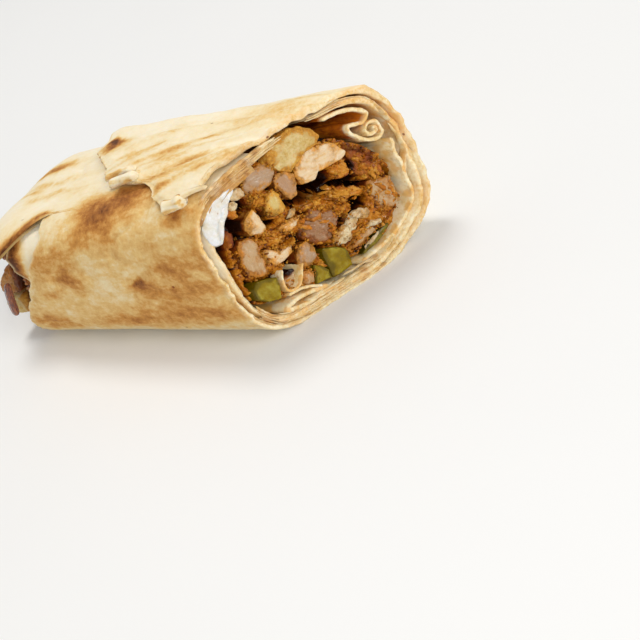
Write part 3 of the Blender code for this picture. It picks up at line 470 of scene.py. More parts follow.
def sculpted(name, points, faces, finish, fields=None, replaces=()):
    """A finished piece: a mesh object from section points and faces, wound so that it faces out.

    The fields are numbers or vectors at each point, which the finish reads by name.
    """
    placed = place(points)
    tri = np.concatenate([f[:, [0, i, i + 1]] for f in faces for i in range(1, f.shape[1] - 1)])
    a, b, c = placed[tri[:, 0]], placed[tri[:, 1]], placed[tri[:, 2]]
    if np.einsum("ij,ij->", a, np.cross(b, c)) < 0:
        faces = [f[:, ::-1] for f in faces]
    mesh = bpy.data.meshes.new(name)
    mesh.from_pydata(placed.tolist(), [], [row for f in faces for row in f.tolist()])
    mesh.shade_smooth()
    for key, values in (fields or {}).items():
        values = np.asarray(values, np.float32)
        vector = values.ndim > 1
        data = mesh.attributes.new(key, "FLOAT_VECTOR" if vector else "FLOAT", "POINT").data
        data.foreach_set("vector" if vector else "value", values.ravel())
    mesh.materials.append(finish)
    made = bpy.data.objects.new(name, mesh)
    bpy.context.scene.collection.objects.link(made)
    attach(made, "root")
    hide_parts(*replaces)
    return made


# ---------------------------------------------------------------- finishes


def shade(red, green, blue):
    """A colour picked on a screen, 0 to 255, as the linear light a shader works in."""
    c = np.array([red, green, blue]) / 255.0
    return (*np.where(c < 0.04045, c / 12.92, ((c + 0.055) / 1.055) ** 2.4), 1.0)


class Finish:
    """A procedural material in the making: each method adds one node and gives its output."""

    def __init__(self, name, **sockets):
        """A new material of that name, its shader's sockets set to the values given."""
        self.material = bpy.data.materials.new(name)
        self.material.use_nodes = True
        self.tree = self.material.node_tree
        self.shader = self.tree.nodes["Principled BSDF"]
        for socket, value in sockets.items():
            self.shader.inputs[socket.replace("_", " ")].default_value = value

    def node(self, kind, **inputs):
        """A new shader node with its inputs set or fed."""
        made = self.tree.nodes.new("ShaderNode" + kind)
        for key, value in inputs.items():
            self.feed(made.inputs[key.replace("_", " ")], value)
        return made

    def feed(self, socket, value):
        """A socket linked to a node's output, or set to a value of its own."""
        if isinstance(value, bpy.types.NodeSocket):
            self.tree.links.new(value, socket)
        else:
            socket.default_value = value

    def field(self, name):
        """A number kept at each point of the mesh."""
        made = self.node("Attribute")
        made.attribute_name = name
        return made.outputs["Fac"]

    def along(self, name, scale=(1.0, 1.0, 1.0)):
        """A vector kept at each point of the mesh, stretched."""
        made = self.node("Attribute")
        made.attribute_name = name
        return self.node("Mapping", Vector=made.outputs["Vector"], Scale=scale).outputs["Vector"]

    def object_mm(self):
        """Place in the object's own frame, in millimetres."""
        where = self.node("TexCoord").outputs["Object"]
        return self.node("Mapping", Vector=where, Scale=(1000.0,) * 3).outputs["Vector"]

    def noise(self, where, size, detail=3.0, roughness=0.55, distortion=0.0):
        """Cloudy noise whose largest features are about size across, in mm."""
        return self.node("TexNoise", Vector=where, Scale=1.0 / size, Detail=detail,
                         Roughness=roughness, Distortion=distortion).outputs["Fac"]

    def cells(self, where, size):
        """Distance from the nearest of scattered points, in cells."""
        return self.node("TexVoronoi", Vector=where, Scale=1.0 / size).outputs["Distance"]

    def math(self, how, a, b=0.0, clamp=False):
        """One sum or product of two values."""
        made = self.tree.nodes.new("ShaderNodeMath")
        made.operation = how
        made.use_clamp = clamp
        self.feed(made.inputs[0], a)
        self.feed(made.inputs[1], b)
        return made.outputs[0]

    def sum(self, *terms):
        """Clamped sum of terms, each a value or a (value, weight) pair."""
        total = 0.0
        for term in terms:
            part = self.math("MULTIPLY", *term) if isinstance(term, tuple) else term
            total = part if total == 0.0 else self.math("ADD", total, part)
        return self.math("ADD", total, 0.0, clamp=True)

    def times(self, value, factor):
        """A value made larger or smaller."""
        return self.math("MULTIPLY", value, factor)

    def off(self, value, middle=0.5):
        """A value less its middle."""
        return self.math("SUBTRACT", value, middle)

    def scaled(self, value, factor, least):
        """A value times a factor, plus the least it may be."""
        return self.math("ADD", self.times(value, factor), least)

    def spread(self, value, low, high):
        """The value's range from low to high opened out to 0 to 1, smoothly."""
        made = self.node("MapRange", Value=value)
        made.interpolation_type = "SMOOTHSTEP"
        made.inputs["From Min"].default_value = low
        made.inputs["From Max"].default_value = high
        return made.outputs["Result"]

    def ramp(self, value, stops):
        """Colours at places from 0 to 1, blended between; each is picked on a screen."""
        made = self.node("ValToRGB", Fac=value)
        band = made.color_ramp.elements
        while len(band) < len(stops):
            band.new(0.5)
        for element, (at, colour) in zip(band, stops):
            element.position = at
            element.color = shade(*colour)
        return made.outputs["Color"]

    def mix(self, share, a, b):
        """Colour a with a share of colour b over it; each is an output, or picked on a screen."""
        made = self.tree.nodes.new("ShaderNodeMix")
        made.data_type = "RGBA"
        self.feed(made.inputs[0], share)
        for input_no, colour in ((6, a), (7, b)):
            self.feed(made.inputs[input_no], shade(*colour) if isinstance(colour, tuple) else colour)
        return made.outputs[2]

    def relief(self, height, depth, strength=1.0, under=None):
        """Bump from a height field, depth in millimetres, on top of another bump."""
        made = self.node("Bump", Height=height, Distance=depth * MM, Strength=strength)
        if under is not None:
            self.feed(made.inputs["Normal"], under)
        return made.outputs["Normal"]

    def done(self, colour=None, rough=None, normal=None):
        """The finished material."""
        for socket, value in (("Base Color", colour), ("Roughness", rough), ("Normal", normal)):
            if value is not None:
                self.feed(self.shader.inputs[socket], value)
        return self.material


def bread_finish():
    """Thin flatbread: cream dough, golden to brown toasting, charred spots, floury skin, and painted shade in
    its folds, cracks and hollows.
    """
    f = Finish("toasted flatbread", Subsurface_Weight=0.10, Subsurface_Scale=0.0012,
               Subsurface_Radius=(1.0, 0.6, 0.3), Specular_IOR_Level=0.20)
    flat = f.along("flat")
    streaks = f.along("flat", (0.55, 1.0, 1.0))
    where = f.object_mm()
    # this field is toasting, plus painted shade in the hood's fold, the tucked-in turn, under the right lip,
    # in the rolled lips' cracks and between flakes
    toast = f.field("toast")
    grain = f.noise(streaks, 3.2, detail=5.0, roughness=0.62, distortion=0.3)
    fine = f.noise(where, 0.9, detail=3.0, roughness=0.6)
    broad = f.noise(flat, 14.0, detail=2.0)
    blister = f.cells(flat, 2.6)
    gritty = f.noise(where, 1.7, detail=7.0, roughness=0.72)
    heat = f.sum(toast, (f.off(grain), f.scaled(toast, 0.8, 0.24)),
                 (f.off(gritty), f.scaled(toast, 0.9, 0.16)), (f.off(broad), 0.22))
    colour = f.ramp(heat, [
        (0.00, (246, 234, 206)), (0.16, (240, 220, 176)), (0.32, (230, 192, 124)),
        (0.50, (208, 150, 76)), (0.68, (174, 112, 50)), (0.86, (140, 84, 36)),
        (1.00, (96, 52, 22))])
    char = f.spread(f.sum(f.field("char"), (f.off(gritty), 0.9)), 0.15, 1.05)
    colour = f.mix(f.times(char, 0.85), colour, (112, 62, 28))
    crumb = f.ramp(f.sum((f.noise(where, 1.0, detail=4.0), 0.55), (f.noise(where, 5.0), 0.45)), [
        (0.32, (214, 170, 98)), (0.44, (238, 208, 148)), (0.60, (252, 238, 202))])
    colour = f.mix(f.field("crumb"), colour, crumb)
    oil = f.spread(f.sum(f.field("oil"), (f.off(grain), 0.6)), 0.25, 0.85)
    colour = f.mix(f.times(oil, 0.62), colour, (232, 168, 66))
    # inner faces in the open end and strips deep behind the cut: partly damp, partly painted shade, in a
    # darker gold
    colour = f.mix(f.field("damp"), colour, (206, 168, 96))
    # the pocket by the cut: an orange stain and the painted shade of the cavity together
    soaked = f.ramp(grain, [(0.35, (138, 60, 0)), (0.62, (212, 124, 12))])
    colour = f.mix(f.field("pocket"), colour, soaked)
    speck = f.spread(f.cells(where, 19.0), 0.032, 0.020)
    colour = f.mix(f.times(speck, 0.8), colour, (120, 44, 22))
    rough = f.spread(f.sum(f.times(fine, 0.3), (toast, -0.15), 0.55), 0.0, 1.0)
    normal = f.relief(f.noise(flat, 1.6, detail=4.0, roughness=0.6), 0.30, 0.55)
    normal = f.relief(f.spread(blister, 0.0, 0.6), 0.18, 0.35, normal)
    normal = f.relief(fine, 0.10, 0.5, normal)
    return f.done(colour, rough, normal)


def blend(one, two, share):
    """A colour share of the way from one to two."""
    return tuple((1.0 - share) * a + share * b for a, b in zip(one, two))


def meat_finish(name, face, rim, flank, dark=(20, 6, 2), weight=0.20, mottle=0.75, fibre=(0.30, 0.8),
                coat=0.32):
    """Cooked meat: a paler fibrous cut face, seasoned rims and browned flanks, and painted shade that darkens
    it with depth behind the cut and in hollows.
    """
    f = Finish(name, Subsurface_Weight=weight, Subsurface_Scale=0.0014,
               Subsurface_Radius=(1.0, 0.72, 0.40), Specular_IOR_Level=0.12,
               Coat_Weight=coat, Coat_Roughness=0.10)
    where = f.object_mm()
    fibres = f.noise(f.along("grain", (fibre[0], 1.0, 1.0)), fibre[1], detail=4.0, roughness=0.6)
    blotch = f.noise(where, 2.6, detail=4.0, roughness=0.6)
    small = f.noise(where, 0.7, detail=3.0)
    pale = f.ramp(f.sum((fibres, 0.7), (blotch, 0.3)), [
        (0.32, blend(face, rim, 0.62)), (0.44, blend(face, rim, 0.14)),
        (0.56, face), (0.70, blend(face, (255, 244, 224), 0.35))])
    edge = f.ramp(f.sum((blotch, 0.6), (small, 0.4)), [
        (0.30, tuple(0.52 * c for c in rim)), (0.52, rim),
        (0.76, tuple(min(255, 1.22 * c) for c in rim))])
    side = f.ramp(f.sum((blotch, 0.5), (small, 0.5)), [
        (0.30, dark), (0.48, flank), (0.72, rim)])
    smear = f.noise(where, 4.0, detail=5.0, roughness=0.65)
    stain = f.spread(f.sum(f.field("edge"), (f.off(smear), 4.6 * mottle)), 0.02, 0.95)
    colour = f.mix(f.spread(f.field("cut"), 0.04, 0.45), side, f.mix(stain, pale, edge))
    # red-brown glaze in stains, and painted shade in the red-brown tone round the dark hollows
    glazed = f.spread(f.sum(f.field("deep"), (f.off(smear, 0.56), 1.1 * mottle)), 0.04, 0.50)
    colour = f.mix(f.times(glazed, 0.80), colour, (118, 42, 6))
    # painted shade: darker towards the dark colour with depth behind the cut and in hollows
    deep = f.spread(f.field("deep"), 0.30, 0.84)
    colour = f.mix(f.times(deep, 0.95), colour, dark)
    shine = f.spread(f.sum((small, 0.5), (blotch, 0.5)), 0.0, 1.0)
    gloss = f.scaled(shine, 0.3, 0.24)
    normal = f.relief(fibres, 0.26, 0.7)
    normal = f.relief(small, 0.22, 0.8, normal)
    return f.done(colour, gloss, normal)


def potato_finish():
    """Fried potato: a pale, slightly green, mealy cut face inside a rough golden crust."""
    f = Finish("fried potato", Subsurface_Weight=0.25, Subsurface_Scale=0.0018,
               Subsurface_Radius=(1.0, 0.7, 0.3), Specular_IOR_Level=0.22)
    where = f.object_mm()
    meal = f.noise(where, 0.8, detail=5.0, roughness=0.7)
    blotch = f.noise(where, 3.0, detail=3.0)
    inside = f.ramp(f.sum((meal, 0.5), (blotch, 0.5)), [
        (0.34, (192, 148, 64)), (0.46, (210, 180, 114)), (0.64, (230, 212, 164))])
    crust = f.ramp(f.sum((meal, 0.6), (blotch, 0.4)), [
        (0.30, (120, 66, 20)), (0.50, (196, 136, 46)), (0.72, (228, 184, 92))])
    rim = f.spread(f.sum(f.field("edge"), (f.off(meal), 1.4), (f.off(blotch), 2.0)), 0.16, 0.66)
    colour = f.mix(f.spread(f.field("cut"), 0.3, 0.7), crust, f.mix(rim, inside, crust))
    # painted shade: darker with depth behind the cut and further into the open end
    colour = f.mix(f.spread(f.field("deep"), 0.35, 1.0), colour, (70, 36, 12))
    normal = f.relief(meal, 0.30, 0.7)
    return f.done(colour, f.spread(meal, -0.6, 1.4), normal)


def pickle_finish(name, flesh, skin, glow=0.45):
    """Pickled cucumber: wet, see-through flesh with a darker skin along its edges."""
    f = Finish(name, Subsurface_Weight=glow, Subsurface_Scale=0.0035,
               Subsurface_Radius=(0.9, 0.9, 0.10), Specular_IOR_Level=0.16,
               Coat_Weight=0.16, Coat_Roughness=0.05)
    where = f.object_mm()
    veins = f.noise(f.along("grain", (0.5, 1.0, 1.0)), 1.4, detail=4.0)
    soft = f.noise(where, 3.5, detail=2.0)
    body = f.ramp(f.sum((veins, 0.45), (soft, 0.55)), [
        (0.32, tuple(0.84 * c for c in flesh)), (0.48, flesh),
        (0.66, blend(flesh, (206, 204, 118), 0.45))])
    edge = f.spread(f.field("edge"), 0.45, 0.95)
    colour = f.mix(f.times(edge, 0.75), body, skin)
    colour = f.mix(f.spread(f.field("cut"), 0.7, 0.2), colour, skin)
    return f.done(colour, f.scaled(veins, 0.25, 0.10), f.relief(veins, 0.20, 0.4))


def sauce_finish():
    """Garlic sauce: thick, white, wet, with faint specks of seasoning where it is thin."""
    f = Finish("garlic sauce", Subsurface_Weight=0.5, Subsurface_Scale=0.002,
               Subsurface_Radius=(1.0, 0.8, 0.6), Specular_IOR_Level=0.5,
               Coat_Weight=0.6, Coat_Roughness=0.08)
    where = f.object_mm()
    soft = f.noise(where, 3.0, detail=1.0)
    fine = f.noise(where, 0.8, detail=3.0)
    colour = f.ramp(f.sum((soft, 0.7), (fine, 0.3)), [
        (0.25, (220, 204, 172)), (0.42, (232, 226, 214)), (0.62, (240, 239, 238))])
    speck = f.spread(f.cells(where, 2.6), 0.13, 0.07)
    colour = f.mix(f.times(speck, 0.5), colour, (168, 130, 84))
    return f.done(colour, f.scaled(fine, 0.22, 0.16), f.relief(soft, 0.4, 0.5))


def onion_finish():
    """Grilled red onion: dark red, glossy, lighter along its ribs."""
    f = Finish("red onion", Subsurface_Weight=0.15, Subsurface_Scale=0.0015,
               Subsurface_Radius=(1.0, 0.4, 0.1), Coat_Weight=0.12, Coat_Roughness=0.08)
    ribs = f.noise(f.along("grain", (0.15, 1.0, 1.0)), 0.7, detail=3.0)
    colour = f.ramp(ribs, [(0.32, (72, 22, 4)), (0.50, (122, 54, 10)),
                           (0.68, (172, 92, 18))])
    return f.done(colour, f.scaled(ribs, 0.2, 0.08), f.relief(ribs, 0.3, 0.6))


# ---------------------------------------------------------------- the bread


def on_sheet(x, turned):
    """Places on the sheet laid flat: mm along the roll, mm round it."""
    return np.stack([x, turned * np.radians(MEAN_RADIUS), 0.0 * x], axis=-1)


def flap_share(turned):
    """1 on the flap, falling to 0 where it runs out."""
    return 1.0 - ease(turned, *FLAP_FADE)


def bread_look(flat, **given):
    """What the bread's finish reads at each point: its place laid flat, and the rest 0 unless given."""
    zero = np.zeros(flat.size // 3)
    names = ("toast", "char", "oil", "crumb", "damp", "pocket")
    return {"flat": flat.reshape(-1, 3), **{key: zero + np.ravel(given.get(key, 0.0)) for key in names}}


def drifted(degrees, x):
    """Degrees round as the flap's ridges count them: the lower ones slant towards the cut."""
    return degrees + 0.62 * np.clip((degrees - 62.0) / 42.0, 0.0, 1.0) * (x - 80.0)


def ridge_lines(x, drift):
    """Places drawn out along the flap's ridges."""
    return np.stack([0.12 * x, 0.5 * drift, 0.0 * x], axis=-1)


def flap_lift(degrees, x):
    """Lift of the flap: ridges that drift across it, soft puffs and ripples, in mm."""
    drift = drifted(degrees, x)
    spot = ridge_lines(x, drift)
    ridge = 0.5 + 0.5 * np.cos(np.radians(drift * 360.0 / 14.0))
    pleat = 0.66 * ridge ** 1.4 + 0.36 * (0.5 + 0.5 * np.cos(np.radians(drift * 360.0 / 31.0 + 40)))
    pleat = pleat + 0.75 * cloudy(spot, 2.6, 33, 3)
    pleat = pleat + 0.7 * ease(degrees, 92.0, 112.0) * np.abs(cloudy(spot * (0.8, 1.6, 1.0), 2.2, 37, 3))
    puff = 1.9 * bell(degrees - 60.0, 26.0) * bell(x - 58.0, 30.0)
    puff = puff + 1.7 * bell(degrees - 54.0, 15.0) * bell(x - 34.0, 9.0)
    return pleat, puff


def left_edge(turned, jag):
    """x of the sheet's ragged edge at the open end."""
    left = np.interp(turned, LEFT_TURN, LEFT_EDGE)
    left = left + 0.7 * np.sin(turned * 0.31) * np.cos(turned * 0.13)
    return left + 0.8 * cloudy(jag, 3.0, 11) + 0.7 * cloudy(jag, 0.8, 13, 3)


def end_lift(turned, degrees, x):
    """Lift at the open end, in mm: the hood stands off, and its far side tucks in."""
    on_hood = 1.0 * (turned > HOOD_START)
    hood = 1.4 * on_hood * (1.0 - ease(turned, 400.0, 420.0)) * (1.0 - ease(x, -6.0, 18.0))
    tuck = bell(degrees - 124.0, 7.0) * 1.2 - 3.2 * ease(degrees, 126.0, 148.0)
    return hood + tuck * on_hood * (turned < 420.0) * (1.0 - ease(x, -4.0, 7.0))


def bread_at(turned, along, into):
    """Points of the rolled sheet, and its degrees round.

    A point is given by the degrees rolled from the flap, the share of the way from the ragged
    left edge to the slanting cut, and the share of the way in from the outer face. The radius
    is the section's outline, set in by a pitch for each turn, plus the sheet's unevenness.
    """
    inset = turn_inset(turned)
    jag = np.stack([turned * 0.5, turned * 0.0, turned * 0.0], axis=-1)
    left = left_edge(turned, jag)
    x = left + (CUT_GUESS - left) * along
    for _ in range(3):
        slant = (5.0 + 6.0 * ease(x, 82.0, 95.0)) * bell(turned, 9.0)
        hang = 26.0 * ease(24.0 - x, 0.0, 22.0) * np.exp(-np.abs(turned - 376.0) / 14.0)
        degrees = FLAP_ANGLE - turned - slant + hang * (turned > HOOD_START)
        angle = np.radians(degrees)
        r = outline(angle, inset)
        right = cut_x(r * np.cos(angle), r * np.sin(angle)) + ruffle(degrees) - torn_back(turned)
        right = right + 0.91 * cloudy(jag + 40.0, 7.0, 5) + 0.35 * cloudy(jag, 1.3, 6, 3)
        x = left + (right - left) * along
    on_flap = flap_share(turned)
    pleat, puff = flap_lift(degrees, x)
    lift = sway(degrees, x) - slack(degrees, x) * (turned > 359.0) + end_lift(turned, degrees, x)
    spot = on_sheet(x, turned)
    crinkle = 0.34 * cloudy(spot, 11.0, 21, 3) + 0.10 * cloudy(spot, 2.6, 24, 2)
    near_cut = ease(x, right - 9.0, right)
    crinkle = crinkle + 0.26 * near_cut * cloudy(spot * (0.3, 1.0, 1.0), 4.0, 27, 3)
    creases = 0.5 * ease(np.abs(cloudy(spot * (0.5, 1.0, 1.0), 16.0, 31, 2)), 0.10, 0.0)
    shown = ease(x, 5.0, 20.0) * (1.0 - 0.6 * ease(x, 92.0, 104.0))
    outer = r + lift + on_flap * (pleat + puff) + crinkle - creases * shown * (1.0 - on_flap)
    inner = outline(angle, inset + SHEET) + lift + on_flap * (0.5 * pleat + puff) + crinkle
    inner = np.minimum(inner, outer - 0.8 * SHEET)
    from_end = np.minimum(turned, ROLLED - turned) * np.radians(MEAN_RADIUS)
    thin = bulge(from_end / 0.9, 0.02) * (0.55 + 0.45 * ease(x - left, 0.0, 5.0))
    thin = thin * (1.0 - near_cut * (0.14 + 0.42 * cloudy(spot * (0.3, 1.0, 1.0), 5.0, 29, 3)))
    radius = (outer + inner) / 2 + (outer - inner) / 2 * thin * (1.0 - 2.0 * into)
    return on_section(x, radius, degrees), degrees, left, right


def toasting(x, degrees, table, seed):
    """Sum of soft patches given by place, size, lean and strength, their outlines made ragged."""
    spot = on_sheet(x, degrees)
    bend, bend_round = 3.4 * cloudy(spot, 7.0, seed, 4), 5.44 * cloudy(spot, 7.0, seed + 50, 4)
    total = np.zeros(np.shape(x))
    for at, around, long, wide, lean, strength in table:
        u, v = x + bend - at, wrapped(degrees - around) + bend_round
        far = ((u - lean * v) / long) ** 2 + (v / wide) ** 2
        total = total + strength * np.exp(-far ** 1.1)
    return total


def bread_fields(points, degrees, turned, left, right, into):
    """What the bread's finish reads: toasting with some painted shade, char, oil at the cut, crumb on torn
    edges, and painted shade inside the open end and in the pocket by the cut.
    """
    x = points[..., 0]
    spot = on_sheet(x, turned)
    outside = 1.0 - ease(into, 0.1, 0.5)
    flap = flap_share(turned)
    drift = drifted(degrees, x)
    streak = ease(cloudy(ridge_lines(x, drift), 1.7, 61, 4), -0.10, 0.42)
    streak = streak * ease(cloudy(spot, 14.0, 63, 2), -0.5, 0.3)
    stripes = 0.0 * x
    for at, around, long, wide, strength in STRIPES:
        far = ((x - at) / long) ** 2 + ((drift - drifted(around, at)) / wide) ** 2
        stripes = stripes + strength * np.exp(-far)
    near = ease(np.abs(wrapped(degrees - 178.0)), 62.0, 20.0)
    mottled = 0.5 + 0.5 * cloudy(spot * (1.0, 0.55, 1.0), 12.0, 71, 3)
    toast = toasting(x, degrees, TOASTED, 81) * (1.0 - 0.85 * flap)
    # browning on the flap, with painted shade by the cut at (102, 111)
    halo = toasting(x, degrees, BROWNED_FLAP, 95)
    toast = toast + (0.03 + 0.15 * streak + stripes * (0.45 + 0.45 * streak) + halo) * flap
    toast = toast + near * (0.15 + 0.32 * mottled)
    # painted shade inside the open end: the tucked-in last turn darkened near its left edge, less so a little
    # further in
    tucked = 1.0 * (turned > TUCKED_IN)
    toast = toast + tucked * (0.72 * (1.0 - ease(x, 9.5, 15.5)) - 0.30 * ease(x, 14.0, 18.0))
    # painted shade: a dark line along the fold where the hood starts
    toast = toast + 0.80 * bell(turned - HOOD_START, 2.8) * (1.0 - ease(x, 24.0, 30.0))
    toast = toast + 0.10 * (1.0 - near) * (1.0 - flap) * mottled
    char = toasting(x, degrees, CHARRED, 91)
    behind = np.maximum(right - x, 0.0)
    oil = 0.58 * bell(behind, 2.6) * ease(cloudy(spot, 9.0, 101, 3), -0.45, 0.35)
    golden = bell(wrapped(degrees) - 26.0, 26.0) * bell(behind, 7.0)
    oil = np.maximum(oil, 1.2 * golden * ease(cloudy(spot, 5.0, 105, 3), -0.35, 0.3))
    rim = ease(into, 0.12, 0.3) * ease(into, 0.88, 0.7)
    edges = [rim, 0.5 * bell(behind, 0.7), 0.8 * bell(x - left, 0.8), 0.85 * (1.0 - outside)]
    crumb = np.max(np.broadcast_arrays(*edges), axis=0)
    # inner faces near the open end: partly damp, partly painted shade
    damp = (1.0 - outside) * 0.9 * ease(x, 30.0, 10.0)
    # the pocket high on the right behind the cut: orange stain and painted shade of the cavity
    pocket = bell(wrapped(degrees) - 52.0, 26.0) * (1.0 - outside) * ease(behind, 0.8, 3.5)
    return bread_look(spot + np.multiply.outer(4.0 * into, (0.0, 0.0, 1.0)), toast=toast * outside,
                      char=char * outside, oil=oil, crumb=crumb, damp=damp, pocket=pocket)


def flatbread(finish):
    """The whole rolled sheet as loops round its section, one loop for each step of rolling."""
    turned = np.concatenate([[0.0, 0.25, 0.6, 1.1], np.arange(1.8, 374.0, 1.35), [374.0, 375.0, 376.0],
                             np.arange(377.5, 470.0, 1.9), np.arange(470.0, ROLLED - 2.0, 3.2),
                             [ROLLED - 1.5, ROLLED - 0.7, ROLLED - 0.2, ROLLED]])
    cols, rim = 88, 5
    s = np.linspace(0.0, 1.0, cols)
    along = 0.6 * s + 0.4 * (0.5 - 0.5 * np.cos(np.pi * s))
    share = (np.arange(rim) + 1.0) / (rim + 1.0)
    loop_along = np.concatenate([along, np.ones(rim), along[::-1], np.zeros(rim)])
    loop_into = np.concatenate([np.zeros(cols), share, np.ones(cols), share[::-1]])
    t, a = np.meshgrid(turned, loop_along, indexing="ij")
    i = np.broadcast_to(loop_into, t.shape)
    points, degrees, left, right = bread_at(t, a, i)
    swell = np.sin(np.pi * i) * (np.abs(i - 0.5) < 0.45)
    flaky = cloudy(np.stack([t * 0.5, i * 2.2, 0 * t], axis=-1), 1.0, 7, 3)
    ragged = cloudy(np.stack([t * 0.5, i * 1.0, 0 * t], axis=-1), 3.4, 9, 3)
    torn = (0.55 * ragged + 0.40 * flaky) * (a > 0.999)
    points[..., 0] += (0.30 * swell + torn) * np.where(a > 0.5, 1.0, -1.0)
    fields = bread_fields(points, degrees, t, left, right, i)
    return sculpted("flatbread_sheet", points.reshape(-1, 3), loop_faces(len(turned), cols, rim, -1),
                    finish, fields, ["flatbread"])


# the flap's torn edge where it is rolled up: name, its axis from and to (x, degrees round), radius,
# turns, whether it lies on the flap, lift, seed
ROLLED_LIPS = [
    ("rolled_lip_right", (80.6, 133.0), (88.4, 132.0), 1.9, 1.4, False, -0.2, 500),
    ("rolled_lip_left", (54.5, 113.6), (65.5, 110.6), 1.5, 1.2, True, -0.5, 520),
    ("rolled_lip_upper", (50.4, 108.0), (62.0, 104.8), 1.25, 1.1, True, 0.1, 540),
]


def rolled_lip(name, start, end, radius, turns, on_flap, lift, seed, finish):
    """The flap's torn edge rolled up: a scroll lying along it, on the turn below or on the flap.

    Its section is a tab that runs out flat, then a spiral whose radius falls to a quarter; the
    axis runs between two places given as x and degrees round. Both ends are rolled thinner.
    """
    rows, thick = 60, 0.85
    s = np.linspace(0.0, 1.0, rows)[:, None]
    x = start[0] + (end[0] - start[0]) * s
    line = np.stack([x, 0 * x, 0 * x], axis=-1)
    degrees = start[1] + (end[1] - start[1]) * s + 2.4 * cloudy(line, 5.0, seed, 2)
    turned = FLAP_ANGLE - degrees + (0.0 if on_flap else 360.0)
    under = outline(np.radians(degrees), turn_inset(turned)) + sway(degrees, x) + lift
    if on_flap:
        pleat, puff = flap_lift(degrees, x)
        under = under + pleat + puff
    ends = bulge(np.minimum(s, 1.0 - s) / 0.14, 0.012)
    size = radius * ends * (1.0 + 0.13 * cloudy(line, 3.0, seed + 3, 2))
    theta = -np.pi / 2 + 2 * np.pi * turns * np.linspace(0.0, 1.0, 64)[None, :] ** 0.9
    shrink = np.linspace(1.0, 0.24, 64)[None, :]
    back = np.linspace(-2.6, -0.4, 10)[None, :] * ends
    tab = np.stack([back, -size + 0 * back], axis=-1)
    scroll = size * shrink
    rolled = np.stack([scroll * np.cos(theta), scroll * np.sin(theta)], axis=-1)
    path = np.concatenate([tab, rolled], axis=1)
    grooves = np.concatenate([0.25 * x[..., None] + 0 * path[..., :1], 2 * path], -1)
    path = path * (1.0 + 0.20 * cloudy(grooves, 1.3, seed + 5, 3))[..., None]
    tangent = unit(np.gradient(path, axis=1))
    normal = np.stack([-tangent[..., 1], tangent[..., 0]], axis=-1)
    way = np.linspace(0.0, 1.0, path.shape[1])[None, :]
    plump = thick / 2 * bulge(np.minimum(way, 1.0 - way) / 0.05, 0.03) * (0.2 + 0.8 * ends)
    grids, cracks = [], []
    for side in (1.0, -1.0):
        flat = path + side * plump[..., None] * normal
        # painted shadow along the crack on the scroll's back side, where it meets the sheet beside it
        cracks.append(ease(-flat[..., 0] / radius, 0.5, 0.9) * ease(way, 0.3, 0.5) * ease(ends, 0.3, 0.9))
        out = under + 0.95 * size + flat[..., 1]
        sideways = degrees + np.degrees(flat[..., 0] / under)
        spot = np.concatenate([0 * flat[..., :1], flat], axis=-1)
        ragged = 0.5 * cloudy(spot, 2.6, seed + 7, 2) * (2.0 * s - 1.0) ** 3
        grids.append(on_section(x + ragged, out, sideways))
    points, faces = slab(*grids)
    edge = np.ones(EDGE_POINTS)
    crack = np.concatenate([cracks[0], cracks[0][:, -1:] * edge, cracks[1][:, ::-1],
                            cracks[1][:, :1] * edge], axis=1).ravel()
    browned = ease(cloudy(points * (0.3, 1.4, 1.4), 2.4, seed + 9, 3), 0.0, 0.6)
    # toasting plus the crack's painted shadow
    fields = bread_look(points * (0.5, 2.0, 2.0), toast=0.04 + 0.34 * browned + 0.9 * crack)
    return sculpted(name, points, faces, finish, fields, ())


def flakes(finish):
    """Thin torn flakes of bread standing along the cut edge, between its layers.

    Each is a flattened tube along an arc of the ring: its section is an ellipse, long towards
    the cut and thin outwards, whose length is made ragged by a random field.
    """
    rng = np.random.default_rng(47)
    beds = [(96.0, 130.0, 54), (-150.0, -60.0, 46), (-60.0, 60.0, 18)]
    middle = np.concatenate([rng.uniform(low, high, count) for low, high, count in beds])
    count = len(middle)
    rings, sides = 26, 12
    s, a = np.linspace(-1.0, 1.0, rings)[None, :, None], circle(sides)
    pick = rng.uniform(0.0, 1.0, (5, count, 1, 1))
    degrees = middle[:, None, None] + (4.0 + 12.0 * pick[0]) * s + 0.0 * a
    inner = wall(degrees, 100.0 + 0 * degrees)
    outer = outline(np.radians(degrees), turn_inset(FLAP_ANGLE - degrees))
    inner = inner - 2.4 * ease(degrees, -140.0, -120.0) * ease(degrees, 0.0, -20.0)
    r = inner + 0.2 + (outer - inner - 1.7) * pick[1] + 0.5 * (pick[2] - 0.5) * s
    there = on_section(0.0 * r, r, degrees) + 40.0 * pick[4][..., None]
    taper = bulge(1.0 - s ** 4, 0.03)
    deep = (0.6 + 0.8 * pick[3]) * taper * (1.0 + 0.5 * cloudy(there, 1.8, 481, 3))
    thin = (0.12 + 0.14 * pick[4]) * taper
    r = r + thin * np.sin(a) + 0.25 * cloudy(there + 9.0, 2.2, 485, 2)
    forward = -0.7 + 0.9 * pick[2] + deep * np.cos(a)
    points = on_section(0.0 * r, r, degrees)
    points[..., 0] = cut_x(points[..., 1], points[..., 2]) + ruffle(degrees) + forward
    potato = (degrees.mean(axis=(1, 2)) > 60.0) & (degrees.mean(axis=(1, 2)) < 96.0)
    shapes, faces = many(points[~potato])
    shaded = ease(shapes[:, 2], 12.0, 20.0) * ease(-shapes[:, 1], 4.0, 10.0)
    toast = 0.22 + 0.26 * shaded + 0.34 * ease(cloudy(shapes, 3.0, 487, 3), -0.2, 0.6)
    crumb = (0.25 + 0.65 * ease(cloudy(shapes, 2.4, 491, 3), -0.3, 0.3)) * (1.0 - 0.45 * shaded)
    oil = 0.6 * ease(cloudy(shapes, 5.0, 489, 3), -0.2, 0.5)
    fields = bread_look(shapes, toast=toast, oil=oil, crumb=crumb)
    return sculpted("bread_flakes", shapes, faces, finish, fields, ())


